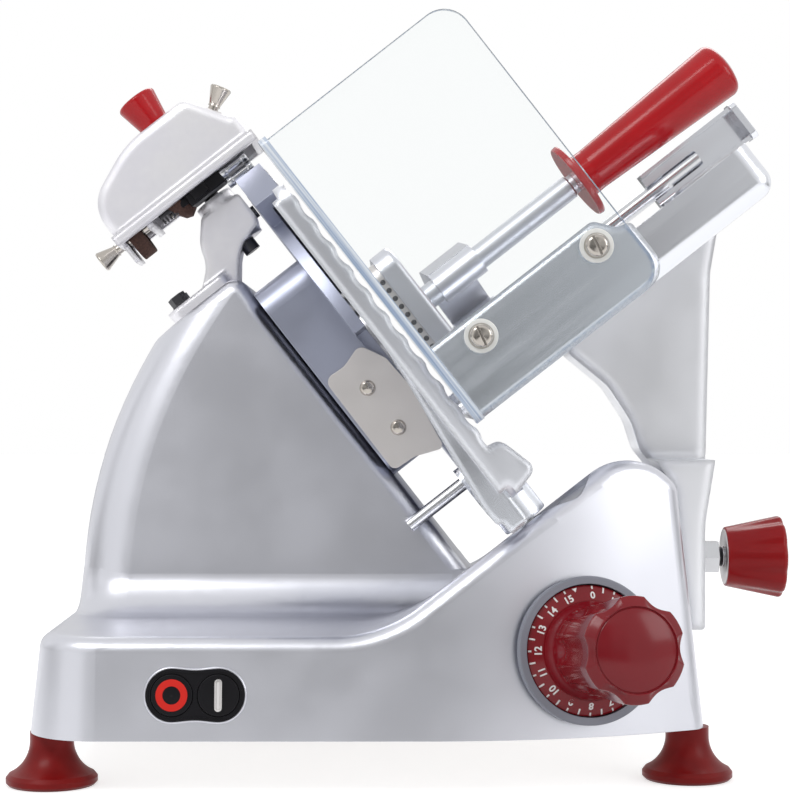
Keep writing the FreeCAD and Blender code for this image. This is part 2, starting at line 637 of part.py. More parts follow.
def blade():
    """Dished knife with a ground edge, its bevel on the side away from the gauge plate."""
    edge = BLADE_DIAMETER / 2.0
    profile = [(27.0, -7.4, 0), (27.0, -5.0, 0), (104.0, -5.0, 20.0), (117.0, -1.2, 0), (edge, 0.0, 0),
               (edge - 0.4, -0.6, 0), (110.0, -7.4, 0)]
    disc = turned(profile, Vector(), Vector(1, 0, 0))
    return lean(disc.cut([rod(Vector(-9, y, u), Vector(0, y, u), 2.5) for y, u in blade_screw_places()]))


def blade_shaft():
    """Steel shaft with the flange that the blade is screwed to."""
    profile = [(0, -104.0, 0), (9.0, -104.0, 0), (SHAFT_RADIUS, -103.0, 0), (SHAFT_RADIUS, -17.5, 0),
               (41.0, -12.5, 2.0), (41.0, -7.4, 0), (26.9, -7.4, 0), (26.9, -5.4, 0.5), (0, -5.4, 0)]
    flange = turned(profile, Vector(), Vector(1, 0, 0))
    holes = [rod(Vector(-12, y, u), Vector(0, y, u), 2.5) for y, u in blade_screw_places()]
    return lean(flange.cut(holes))


def blade_screw_places():
    """Y and U of the three screws that hold the blade to its flange."""
    return [(34.0 * math.cos(math.radians(a)), 34.0 * math.sin(math.radians(a))) for a in (90, 210, 330)]


def blade_screws():
    """Countersunk-looking flat screws through the blade into its flange."""
    screws = []
    for y, u in blade_screw_places():
        profile = [(0, -5.0, 0), (5.0, -5.0, 0), (4.0, -2.6, 1.0), (1.4, -2.6, 0), (1.4, -4.0, 0),
                   (0, -4.0, 0)]
        head = turned(profile, Vector(0, y, u), Vector(1, 0, 0))
        screws.append(head.fuse(rod(Vector(-11.5, y, u), Vector(-4.9, y, u), 2.45)))
    return lean(Part.makeCompound(screws))


def blade_bearings():
    """Two sealed ball bearings of the blade shaft, each a ring with a seal's groove on both sides."""
    inner, outer, width = SHAFT_RADIUS + RUNNING_GAP, BEARING_RADIUS, 12.0
    profile = [(inner, 0, 0), (12.6, 0, 0), (13.0, 0.8, 0), (16.2, 0.8, 0), (16.6, 0, 0), (outer, 0, 0),
               (outer, width, 0), (16.6, width, 0), (16.2, width - 0.8, 0), (13.0, width - 0.8, 0),
               (12.6, width, 0), (inner, width, 0)]
    rings = [turned(profile, Vector(back_n, 0, 0), Vector(1, 0, 0)) for back_n in BEARING_BACK_N]
    return lean(Part.makeCompound(rings))


def pulley(radius, bore, back_n, front_n, centre_u):
    """Flanged belt pulley with a hub, its rim as wide as the belt and a little more."""
    width = front_n - back_n
    profile = [(bore, -6.0, 0), (bore + 5.0, -6.0, 0), (bore + 5.0, 2.0, 0), (radius - 5.0, 2.0, 0),
               (radius - 5.0, -2.0, 0), (radius + 3.2, -2.0, 0), (radius + 3.2, -0.4, 0), (radius, -0.4, 0),
               (radius, width + 0.4, 0), (radius + 3.2, width + 0.4, 0), (radius + 3.2, width + 2.0, 0),
               (bore, width + 2.0, 0)]
    return lean(turned(profile, Vector(back_n, 0, centre_u), Vector(1, 0, 0)))


def blade_pulley():
    """Large pulley at the back end of the blade shaft."""
    return pulley(BLADE_PULLEY_RADIUS, SHAFT_RADIUS, BELT_BACK_N, BELT_FRONT_N, 0.0)


def motor_pulley():
    """Small pulley with the motor's shaft, running true in the motor's end shield."""
    rim = MOTOR_PULLEY_RADIUS + 3.2
    profile = [(0, BELT_FRONT_N + 3, 0), (rim, BELT_FRONT_N + 3, 0), (rim, BELT_FRONT_N + 0.4, 0),
               (MOTOR_PULLEY_RADIUS, BELT_FRONT_N + 0.4, 0), (MOTOR_PULLEY_RADIUS, BELT_BACK_N - 0.4, 0),
               (rim, BELT_BACK_N - 0.4, 0), (rim, BELT_BACK_N - 2, 0), (0, BELT_BACK_N - 2, 0)]
    wheel = turned(profile, Vector(0, 0, MOTOR_U), Vector(1, 0, 0))
    shaft = rod(Vector(MOTOR_FRONT_N - 20, 0, MOTOR_U), Vector(BELT_FRONT_N + 3, 0, MOTOR_U), 5.0)
    return lean(wheel.fuse(shaft).removeSplitter())


def belt_outline(gap):
    """Face inside a belt that clears both pulleys by the gap, square to the blade's axis."""
    big, small = BLADE_PULLEY_RADIUS + gap, MOTOR_PULLEY_RADIUS + gap
    distance = -MOTOR_U
    tilt = math.asin((big - small) / distance)
    cos_t, sin_t = math.cos(tilt), math.sin(tilt)
    right_top = Vector(big * cos_t, -big * sin_t, 0)
    right_low = Vector(small * cos_t, -distance - small * sin_t, 0)
    left_top, left_low = Vector(-right_top.x, right_top.y, 0), Vector(-right_low.x, right_low.y, 0)
    edges = [Part.Arc(right_top, Vector(0, big, 0), left_top).toShape(),
             Part.LineSegment(left_top, left_low).toShape(),
             Part.Arc(left_low, Vector(0, -distance - small, 0), right_low).toShape(),
             Part.LineSegment(right_low, right_top).toShape()]
    return Part.Face(Part.Wire(edges))


def drive_belt():
    """Ribbed belt from the motor to the blade, in its straight working shape."""
    width = BELT_FRONT_N - BELT_BACK_N
    loop = belt_outline(0.3 + BELT_THICKNESS).extrude(Vector(0, 0, width - 1.0))
    loop = loop.cut(belt_outline(0.3).extrude(Vector(0, 0, width)))
    loop.rotate(Vector(), Vector(1, 1, 1), 120)
    return lean(loop.translated(Vector(BELT_BACK_N + 0.5, 0, 0)))


def motor():
    """Motor with cooling ribs, round end shields and a bore for its shaft."""
    body = rod(Vector(MOTOR_BACK_N + 8, 0, MOTOR_U), Vector(MOTOR_FRONT_N - 8, 0, MOTOR_U), MOTOR_RADIUS)
    shields = turned([(0, MOTOR_BACK_N, 0), (MOTOR_RADIUS - 6, MOTOR_BACK_N, 6.0),
                      (MOTOR_RADIUS - 2, MOTOR_BACK_N + 9, 0), (MOTOR_RADIUS - 2, MOTOR_FRONT_N - 9, 0),
                      (MOTOR_RADIUS - 6, MOTOR_FRONT_N, 6.0), (0, MOTOR_FRONT_N, 0)],
                     Vector(0, 0, MOTOR_U), Vector(1, 0, 0))
    grooves = []
    for rib in range(12):
        angle = math.radians(30 * rib + 15)
        y, u = MOTOR_RADIUS * math.cos(angle), MOTOR_U + MOTOR_RADIUS * math.sin(angle)
        grooves.append(rod(Vector(MOTOR_BACK_N + 7, y, u), Vector(MOTOR_FRONT_N - 7, y, u), 3.0))
    bore = rod(Vector(MOTOR_FRONT_N - 21, 0, MOTOR_U), Vector(MOTOR_FRONT_N + 1, 0, MOTOR_U),
               5.0 + RUNNING_GAP)
    return lean(body.fuse(shields).cut(grooves + [bore]).removeSplitter())


def motor_bracket():
    """Steel plate with a hoop for the motor, bolted behind the tower's face."""
    face_n = TOWER_FACE_N - WALL
    plate = board(oblong(-50, 50, -140, -54, 10.0), face_n - 7.0, face_n)
    window = rod(Vector(face_n - 20, 0, MOTOR_U), Vector(face_n + 5, 0, MOTOR_U), MOTOR_PULLEY_RADIUS + 8)
    stays = [block(MOTOR_FRONT_N - 16, face_n - 6, side - 3, side + 3, MOTOR_U - 12, MOTOR_U + 12)
             for side in (-MOTOR_RADIUS - 4.2, MOTOR_RADIUS + 4.2)]
    hoop = rod(Vector(MOTOR_FRONT_N - 26, 0, MOTOR_U), Vector(MOTOR_FRONT_N - 14, 0, MOTOR_U),
               MOTOR_RADIUS + 5)
    inside = rod(Vector(MOTOR_FRONT_N - 30, 0, MOTOR_U), Vector(MOTOR_FRONT_N - 10, 0, MOTOR_U), MOTOR_RADIUS)
    return lean(plate.cut(window).multiFuse(stays + [hoop]).cut(inside).removeSplitter())


def slice_deflector():
    """Stainless plate on the front of the neck that turns the slices off the blade."""
    outline = [(-47.5, 1.5, 5.0), (-34.0, 0.5, 12.0), (-20.0, 5.0, 5.0), (-12.5, -10.0, 6.0),
               (-11.5, -30.0, 10.0), (-17.5, -70.0, 3.0), (-34.0, -63.5, 6.0), (-48.0, -62.5, 4.0)]
    plate = prism(outline, -HEAD_HALF_WIDTH - 1.5, -HEAD_HALF_WIDTH)
    holes = [rod(Vector(-31, -90, u), Vector(-31, -70, u), 2.0) for u in DEFLECTOR_SCREW_U]
    return lean(plate.cut(holes))


def deflector_screws():
    """Two bright pan-head screws that hold the slice deflector."""
    screws = []
    front = -HEAD_HALF_WIDTH - 1.5
    profile = [(0, 0, 0), (4.5, 0, 0), (3.6, 2.6, 1.2), (0, 3.0, 0)]
    for u in DEFLECTOR_SCREW_U:
        head = turned(profile, Vector(-31, front, u), Vector(0, -1, 0))
        screws.append(head.fuse(rod(Vector(-31, front - 0.5, u), Vector(-31, front + 7, u), 1.9)))
    return lean(Part.makeCompound(screws))


def gauge_guide_pin():
    """Steel pin in the tower's face on which the lower end of the gauge plate slides."""
    profile = [(0, -60.0, 0), (GUIDE_PIN_RADIUS, -60.0, 0), (GUIDE_PIN_RADIUS, -17.0, 0.8), (0, -17.0, 0)]
    return lean(turned(profile, Vector(0, GUIDE_PIN_Y, GUIDE_PIN_U), Vector(1, 0, 0)))


def gauge_plate():
    """Fluted plate that the food rests on, hollowed round the blade, with a pad at its lower end."""
    plate = board(oblong(GAUGE_FRONT_Y, -40.0, GAUGE_BOTTOM_U, GAUGE_TOP_U, 10.0), GAUGE_BACK_N, 0.0)
    around_blade = rod(Vector(-30, 0, 0), Vector(30, 0, 0), BLADE_DIAMETER / 2.0 + 4.5)
    flutes = []
    centre_n = GAUGE_FLUTE_RADIUS - GAUGE_FLUTE_DEPTH
    for row in range(12):
        up = GAUGE_BOTTOM_U + 30.0 + GAUGE_FLUTE_PITCH * row
        flutes.append(rod(Vector(centre_n, -230, up), Vector(centre_n, -30, up), GAUGE_FLUTE_RADIUS))
    rim = board(oblong(GAUGE_FRONT_Y, GAUGE_FRONT_Y + 6.0, GAUGE_BOTTOM_U + 6, GAUGE_TOP_U - 6, 0.0),
                GAUGE_BACK_N - 4.0, GAUGE_BACK_N + 1.0)
    pad = prism([(-4.0, -78.0, 0.0), (6.0, -80.0, 5.0), (11.5, -101.0, 5.0), (-4.0, -105.0, 0.0)],
                GAUGE_FRONT_Y, GAUGE_FRONT_Y + 26.0)
    return lean(plate.cut([around_blade] + flutes).multiFuse([rim, pad]).removeSplitter())


def gauge_support():
    """Casting behind the gauge plate, through the ramp's slot to a slider on the bar inside the base."""
    back = GAUGE_BACK_N
    rib = prism([(back, 30.0, 0), (back - 5.8, -28.0, 30.0), (-22.0, -103.0, 4.0), (-21.4, -112.0, 2.0),
                 (-19.0, -112.5, 1.0), (-18.4, -120.0, 2.0), (back, -120.0, 3.0)],
                GAUGE_FRONT_Y + 6.0, GAUGE_FRONT_Y + 24.0)
    cross = block(-22.0, back, GAUGE_FRONT_Y + 20.0, -72.0, -106.0, -98.0)
    cross = cross.cut(rod(Vector(-9.5, 0, 0), Vector(30, 0, 0), BLADE_DIAMETER / 2.0 + 3.0))
    pin_boss = rod(Vector(-22.0, GUIDE_PIN_Y, GUIDE_PIN_U), Vector(-10.0, GUIDE_PIN_Y, GUIDE_PIN_U), 9.0)
    foot_boss = turned([(0, -122.5, 0), (12.5, -122.5, 1.0), (12.5, -104.0, 0), (0, -104.0, 0)],
                       Vector(-8.0, -165.0, 0))
    leg = block(-15.0, -3.0, GAUGE_BAR_Y - 6, GAUGE_BAR_Y + 6, -137.0, -98.0)
    slider = block(-26.0, 10.0, GAUGE_BAR_Y - 13, GAUGE_BAR_Y + 13, -158.0, -135.5)
    finger = block(-12.0, -4.0, GAUGE_BAR_Y - 4, GAUGE_BAR_Y + 4, -182.0, -154.0)
    solid = rib.multiFuse([cross, pin_boss, foot_boss, leg, slider, finger])
    pin_bore = rod(Vector(-30, GUIDE_PIN_Y, GUIDE_PIN_U), Vector(0, GUIDE_PIN_Y, GUIDE_PIN_U),
                   GUIDE_PIN_RADIUS + RUNNING_GAP)
    nub_bore = rod(Vector(-8.0, -165.0, -125), Vector(-8.0, -165.0, -117), 4.0)
    bar_bore = rod(Vector(-40, GAUGE_BAR_Y, GAUGE_BAR_U), Vector(20, GAUGE_BAR_Y, GAUGE_BAR_U),
                   GAUGE_BAR_RADIUS + RUNNING_GAP)
    plate_room = block(GAUGE_BACK_N, 10.0, GAUGE_FRONT_Y, -40.0, GAUGE_BOTTOM_U, GAUGE_TOP_U)
    return lean(solid.cut([pin_bore, nub_bore, bar_bore, plate_room]).removeSplitter())


def gauge_nub():
    """White nylon nub under the gauge support's foot, gliding just over the ramp."""
    profile = [(0, -126.4, 0), (3.0, -126.4, 0.8), (4.0, -125.0, 0), (4.0, -117.0, 0), (0, -117.0, 0)]
    return lean(turned(profile, Vector(-8.0, -165.0, 0)))


def gauge_slide_bar():
    """Steel bar inside the ramp, parallel to the blade's axis, held by two lugs."""
    start, end = (Vector(n, GAUGE_BAR_Y, GAUGE_BAR_U) for n in (GAUGE_LUG_N[0][0], GAUGE_LUG_N[1][1]))
    return lean(rod(start, end, GAUGE_BAR_RADIUS))


def carriage_guide_bar():
    """Steel bar inside the base that the carriage runs on, held by two lugs."""
    start, end = (Vector(TRACK_X, y, TRACK_Z) for y in (TRACK_LUG_Y[0][0], TRACK_END_Y))
    return rod(start, end, TRACK_RADIUS)


def carriage_shuttle():
    """Bored block that runs on the guide bar and takes the carriage's stud."""
    middle = BLADE_Y + STUD_Y
    body = prism([(82.0, 76.0, 6.0), (112.0, 76.0, 6.0), (130.0, 98.0, 4.0), (130.0, 122.0, 4.0),
                  (104.0, 122.0, 6.0), (82.0, 104.0, 8.0)], middle - 30.0, middle + 20.0)
    bore = rod(Vector(TRACK_X, -120, TRACK_Z), Vector(TRACK_X, 120, TRACK_Z), TRACK_RADIUS + RUNNING_GAP)
    stud_bore = rod(Vector(112, middle, STUD_Z), Vector(140, middle, STUD_Z), STUD_RADIUS + RUNNING_GAP)
    return body.cut([bore, stud_bore])


def arm_outline():
    """X and Z corners of the carriage's arm, from inside the tray down outside the base's right wall."""
    right_top = leaning().multVec(Vector(TRAY_END_N - 2.0, 0, TRAY_FLOOR_U + 5.0))
    return [(86.0, 237.0, 0), (86.0, 224.0, 4.0), (108.0, 206.0, 30.0), (121.0, 186.0, 30.0),
            (126.0, 170.0, 12.0), (141.0, 151.0, 12.0), (149.3, ARM_BOTTOM_Z, 2.0),
            (ARM_OUTER_X, ARM_BOTTOM_Z, 2.0), (ARM_OUTER_X, 130.0, 60.0), (163.2, 165.0, 60.0),
            (165.8, 270.0, 40.0), (right_top.x, right_top.z, 0)]


def carriage_arm():
    """Cast arm: a curved web open to the back, on a solid leg that takes the stud."""
    web_front = BLADE_Y - 68.0
    web_back = BLADE_Y - 24.0
    outline = arm_outline()
    web = prism(outline, web_front, web_back)
    hollow = Part.Face(rounded_wire(outline)).makeOffset2D(-5.0)
    hollow.rotate(Vector(), Vector(1, 0, 0), 90)
    hollow.translate(Vector(0, web_back + 1, 0))
    pocket = hollow.extrude(Vector(0, -(web_back - web_front - 5.0), 0))
    pocket = pocket.common(block(0, 300, -300, 300, 185, 400))
    leg = prism(outline, BLADE_Y - 104.0, web_front + 1).common(block(100, 200, -200, 200, 0, 165))
    stud_y = BLADE_Y + STUD_Y
    bore = rod(Vector(130, stud_y, STUD_Z), Vector(180, stud_y, STUD_Z), STUD_RADIUS + 0.1)
    return web.cut(pocket).fuse(leg).cut([bore, tray_form(0.0)]).removeSplitter()


def tray_form(inset):
    """Tray as a solid block with rounded lower edges and corners, drawn in by the sheet's thickness."""
    start = TRAY_START_N - (5.0 if inset else 0.0)
    top = TRAY_RIM_U + (10.0 if inset else 0.0)
    front, back = TRAY_FRONT_Y + inset, TRAY_BACK_Y - inset
    end, floor = TRAY_END_N - inset, TRAY_FLOOR_U + inset

    def wanted(edge):
        middle = middle_of(edge)
        on_side = abs(middle.y - front) < 0.1 or abs(middle.y - back) < 0.1
        on_end = abs(middle.x - end) < 0.1
        return (abs(middle.z - floor) < 0.1 and (on_side or on_end)) or (on_end and on_side)

    return lean(soften(block(start, end, front, back, floor, top), 9.0 - inset, wanted))


def food_tray():
    """Polished tray, open towards the blade, with low walls on its other sides."""
    low_back = block(TRAY_START_N - 1, TRAY_END_N - 12, TRAY_BACK_Y - 12, TRAY_BACK_Y + 1, -50.0, 0.0)
    return tray_form(0.0).cut([tray_form(TRAY_SHEET), lean(low_back)])


def tray_front_wall():
    """Aluminium plate on the operator's side of the tray, notched at its upper right corner."""
    outline = [(TRAY_START_N, TRAY_FLOOR_U, 1.0), (121.0, TRAY_FLOOR_U, 12.0), (121.0, -34.0, 3.0),
               (114.0, -32.0, 4.0), (106.0, -22.0, 5.0), (TRAY_START_N, -22.0, 1.0)]
    plate = prism(outline, TRAY_FRONT_Y - 4.0, TRAY_FRONT_Y)
    holes = [rod(Vector(n, -240, -33), Vector(n, -200, -33), 3.0) for n in GUARD_SCREW_N]
    return lean(plate.cut(holes))


def hand_guard():
    """Clear sheet in front of the carriage, its edge along the blade bent towards the operator."""
    sheet = prism([(1.0, -65.0, 2.0), (118.0, -65.0, 14.0), (118.0, 106.0, 14.0), (1.0, 106.0, 2.0)],
                  TRAY_FRONT_Y - 8.5, TRAY_FRONT_Y - 4.0)
    edge = board(oblong(TRAY_FRONT_Y - 27.0, TRAY_FRONT_Y - 4.0, -65.0, 106.0, 5.0), 1.0, 5.5)
    holes = [rod(Vector(n, -240, -33), Vector(n, -200, -33), 3.0) for n in GUARD_SCREW_N]
    return lean(sheet.fuse(edge).cut(holes).removeSplitter())


def guard_washers():
    """Two white washers between the guard and its screws."""
    front = TRAY_FRONT_Y - 8.5
    profile = [(3.0, 0, 0), (8.4, 0, 0), (8.4, 1.2, 0.5), (3.0, 1.5, 0)]
    washers = [turned(profile, Vector(n, front, -33), Vector(0, -1, 0)) for n in GUARD_SCREW_N]
    return lean(Part.makeCompound(washers))


def guard_screws():
    """Two slotted round-head screws that hold the guard and the front wall to the tray."""
    front = TRAY_FRONT_Y - 10.0
    screws = []
    profile = [(0, 0, 0), (6.3, 0, 0), (5.0, 3.6, 2.2), (0, 4.2, 0)]
    for n in GUARD_SCREW_N:
        head = turned(profile, Vector(n, front, -33), Vector(0, -1, 0))
        slot = block(n - 0.6, n + 0.6, front - 6.0, front - 2.8, -41, -25)
        slot.rotate(Vector(n, 0, -33), Vector(0, 1, 0), 12)
        shank = rod(Vector(n, front - 0.5, -33), Vector(n, TRAY_FRONT_Y - 0.2, -33), 2.95)
        screws.append(head.cut(slot).fuse(shank))
    return lean(Part.makeCompound(screws))


def lock_stud():
    """Threaded stud of the lock knob, with the hexagon collar that clamps the arm to the shuttle."""
    middle = Vector(114, BLADE_Y + STUD_Y, STUD_Z)
    stud = rod(middle, middle + Vector(77, 0, 0), STUD_RADIUS)
    collar = hexagon(17.0, 11.0, Vector(ARM_OUTER_X + 0.3, middle.y, STUD_Z), Vector(1, 0, 0))
    collar.rotate(middle, Vector(1, 0, 0), 30)
    return stud.fuse(collar).removeSplitter()


def lock_knob():
    """Fluted red knob, widest at its outer end."""
    cone = turned([(0, 0, 0), (16.5, 0, 1.5), (23.2, KNOB_LENGTH, 2.0), (0, KNOB_LENGTH, 0)])
    flutes = []
    for lobe in range(8):
        angle = math.radians(45.0 * lobe + 22.5)
        flutes.append(rod(polar(angle, 26.0, -4.0), polar(angle, 32.4, KNOB_LENGTH + 2.0), 10.0))
    knob = cone.cut(flutes)
    place = Vector(KNOB_START_X, BLADE_Y + STUD_Y, STUD_Z)
    knob.Placement = Placement(place, Rotation(Vector(0, 0, 1), Vector(1, 0, 0)))
    return knob.cut(lock_stud())


def pusher_guide_bar():
    """Round bar along the back of the tray that the pusher slides and swings on."""
    return lean(guide_bar_form())


def guide_bar_form():
    """Guide bar in the blade's frame, from the lower lug into the bracket's channel."""
    start, end = (Vector(n, GUIDE_BAR_Y, GUIDE_BAR_U) for n in (9, 214))
    return rod(start, end, GUIDE_BAR_RADIUS)


def guide_bar_bracket():
    """Polished channel past the end of the tray with a lug at each end of the guide bar."""
    lower = board([(15.0, -64.0, 0), (28.0, -64.0, 3.0), (30.0, -22.0, 6.0), (15.5, -21.0, 6.0),
                   (15.0, -50.0, 0)], 9.0, 20.0)
    upper = board([(15.0, -62.0, 0), (30.5, -62.0, 3.0), (30.5, -17.0, 0), (22.0, -17.0, 1.0),
                   (22.0, -38.0, 2.0), (15.0, -42.0, 2.0)], 178.0, 190.0)
    web = block(180.0, 249.0, 28.0, 30.5, -40.0, -16.0)
    flange = block(178.0, 249.0, 15.0, 30.5, -18.5, -16.0)
    sole = block(192.0, 249.0, 15.0, 30.5, -40.0, -37.5)
    end = board(oblong(12.0, 30.5, -41.0, -15.0, 4.0), GUIDE_BAR_END_N, GUIDE_BAR_END_N + 4.0)
    solid = upper.multiFuse([web, flange, sole, end]).removeSplitter()
    return lean(Part.makeCompound([lower.cut(guide_bar_form()), solid.cut(guide_bar_form())]))


def pusher_sleeve():
    """Bush that slides on the guide bar, with a collar at both ends of the arm's eye."""
    inner = GUIDE_BAR_RADIUS + RUNNING_GAP
    profile = [(inner, 30.0, 0), (10.5, 30.0, 0.8), (10.5, 32.5, 0), (8.0, 32.5, 0), (8.0, 61.5, 0),
               (10.5, 61.5, 0), (10.5, 64.0, 0.8), (inner, 64.0, 0)]
    return lean(turned(profile, Vector(0, GUIDE_BAR_Y, GUIDE_BAR_U), Vector(1, 0, 0)))


def pusher_arm():
    """Arched strap from the eye on the guide bar over the food to the pusher's rod."""
    strap = board([(-100.0, 11.0, 0), (-50.0, 18.0, 60.0), (6.0, 9.0, 30.0), (33.9, -27.0, 10.0),
                   (26.0, -29.0, 0), (22.0, -18.0, 8.0), (1.0, 1.5, 22.0), (-50.0, 10.5, 52.0),
                   (-100.0, 3.5, 0)], 33.0, 61.0)
    eye = rod(Vector(33, GUIDE_BAR_Y, GUIDE_BAR_U), Vector(61, GUIDE_BAR_Y, GUIDE_BAR_U), 12.0)
    boss = rod(Vector(33, PUSHER_Y, PUSHER_U), Vector(61, PUSHER_Y, PUSHER_U), PUSHER_ROD_RADIUS + 2.0)
    bores = [rod(Vector(20, GUIDE_BAR_Y, GUIDE_BAR_U), Vector(70, GUIDE_BAR_Y, GUIDE_BAR_U), 8.06),
             rod(Vector(20, PUSHER_Y, PUSHER_U), Vector(70, PUSHER_Y, PUSHER_U), PUSHER_ROD_RADIUS)]
    return lean(strap.multiFuse([eye, boss]).cut(bores).removeSplitter())


def pusher_rod():
    """Satin rod between the press plate and the handle."""
    profile = [(0, PLATE_BACK_N, 0), (PUSHER_ROD_RADIUS, PLATE_BACK_N, 0), (PUSHER_ROD_RADIUS, 125.0, 0.6),
               (PUSHER_ROD_RADIUS - 1.2, 125.5, 0), (PUSHER_ROD_RADIUS - 1.2, 128.5, 0), (4.0, 128.5, 0),
               (4.0, 160.0, 0), (0, 160.0, 0)]
    return lean(turned(profile, Vector(0, PUSHER_Y, PUSHER_U), Vector(1, 0, 0)))


def pusher_handle():
    """Red grip, thicker towards its rounded end, with a round hand stop at its foot."""
    profile = [(4.0, 128.5, 0), (22.0, 128.5, 1.0), (22.5, 132.0, 1.0), (12.5, 133.5, 1.5), (12.2, 140.0, 0),
               (16.0, 231.0, 5.0), (8.0, 233.5, 4.0), (0, 233.8, 0), (0, 160.0, 0), (4.0, 160.0, 0)]
    return lean(turned(profile, Vector(0, PUSHER_Y, PUSHER_U), Vector(1, 0, 0)))


def press_plate():
    """Cast plate with rounded corners that presses the food towards the blade."""
    plate = board(oblong(PUSHER_Y - 38.0, PUSHER_Y + 38.0, -37.0, 36.0, 12.0), PLATE_FRONT_N, PLATE_BACK_N)
    plate = soften(plate, 3.0, lambda edge: abs(middle_of(edge).x - PLATE_BACK_N) < 0.1)
    return lean(plate)


def spike_plate():
    """Steel plate on the face of the press plate with rows of pointed teeth that hold the food."""
    sheet = board(oblong(PUSHER_Y - 35.0, PUSHER_Y + 35.0, -34.0, 33.0, 10.0),
                  PLATE_FRONT_N - 4.0, PLATE_FRONT_N)
    teeth = []
    for row in range(7):
        for column in range(5):
            y, u = PUSHER_Y - 24.0 + 12.0 * column, -27.5 + 9.0 * row
            base = Part.makePolygon([Vector(9, y - 2, u - 2), Vector(9, y + 2, u - 2), Vector(9, y + 2, u + 2),
                                     Vector(9, y - 2, u + 2), Vector(9, y - 2, u - 2)])
            tip = Part.makePolygon([Vector(5.7, y - 0.3, u - 0.3), Vector(5.7, y + 0.3, u - 0.3),
                                    Vector(5.7, y + 0.3, u + 0.3), Vector(5.7, y - 0.3, u + 0.3),
                                    Vector(5.7, y - 0.3, u - 0.3)])
            teeth.append(Part.makeLoft([base, tip], True, True))
    return lean(sheet.multiFuse(teeth).removeSplitter())


def sharpener_bracket():
    """Casting on top of the tower: bolted foot, curved neck and the boss for the sharpener's post."""
    neck = prism([(-98.0, 81.0, 2.0), (-52.5, 81.0, 2.0), (-44.5, 91.0, 12.0), (-37.0, 97.5, 16.0),
                  (-23.0, 101.0, 2.0), (-20.8, 106.0, 2.0), (-20.8, 123.0, 3.0), (-47.0, 124.5, 4.0),
                  (-58.0, 112.0, 25.0), (-62.0, 100.0, 20.0), (-73.0, 90.5, 8.0), (-98.0, 90.5, 3.0)],
                 -12.0, 12.0)
    foot_plate = slab(oblong(-98.0, -56.0, -19.0, 19.0, 6.0), 81.0, 90.5)
    boss = rod(Vector(POST_N, 0, 98.0), Vector(POST_N, 0, 130.0), 12.0)
    cuts = [rod(Vector(POST_N, 0, 80), Vector(POST_N, 0, 140), POST_RADIUS + RUNNING_GAP),
            rod(Vector(POST_N + 9, 0, 109), Vector(0, 0, 109), 4.0)]
    cuts += [rod(Vector(BRACKET_BOLT_N, across, 70), Vector(BRACKET_BOLT_N, across, 100), 3.2)
             for across in BRACKET_BOLT_Y]
    return lean(neck.multiFuse([foot_plate, boss]).cut(cuts).removeSplitter())


def sharpener_screws():
    """Two hexagon bolts through the bracket's foot and the set screw in its boss."""
    screws = []
    for across in BRACKET_BOLT_Y:
        washer = rod(Vector(BRACKET_BOLT_N, across, 90.5), Vector(BRACKET_BOLT_N, across, 91.7), 6.2)
        head = hexagon(9.8, 5.6, Vector(BRACKET_BOLT_N, across, 91.7))
        shank = rod(Vector(BRACKET_BOLT_N, across, 63.0), Vector(BRACKET_BOLT_N, across, 90.6), 2.95)
        screws.append(washer.multiFuse([head, shank]))
    set_screw = rod(Vector(POST_N + 9.2, 0, 109), Vector(-18.6, 0, 109), 3.9)
    socket = hexagon(4.0, 4.0, Vector(-21.0, 0, 109), Vector(1, 0, 0))
    return lean(Part.makeCompound(screws + [set_screw.cut(socket)]))


def sharpener_post():
    """Dark steel post that slides in the bracket and carries the sharpener."""
    return lean(rod(Vector(POST_N, 0, 91.0), Vector(POST_N, 0, 198.0), POST_RADIUS))


def sharpener_profile(inset):
    """N and U corners of the sharpener's cover as seen from the front, drawn in by the inset."""
    floor = COVER_BOTTOM_U - (5.0 if inset else 0.0)
    side = 0.55 * inset
    return [(COVER_LEFT_N + inset, floor, 0.0), (COVER_RIGHT_N - 1.5 - inset, floor, 0.0),
            (COVER_RIGHT_N - 1.5 - inset, 157.0 - side, 3.0), (3.0 - inset, 160.0 - side, 3.0),
            (-12.0 - side, 184.0 - inset, 9.0), (-56.0 + side, 184.0 - inset, 60.0),
            (COVER_LEFT_N + inset, 168.0 - side, 22.0)]


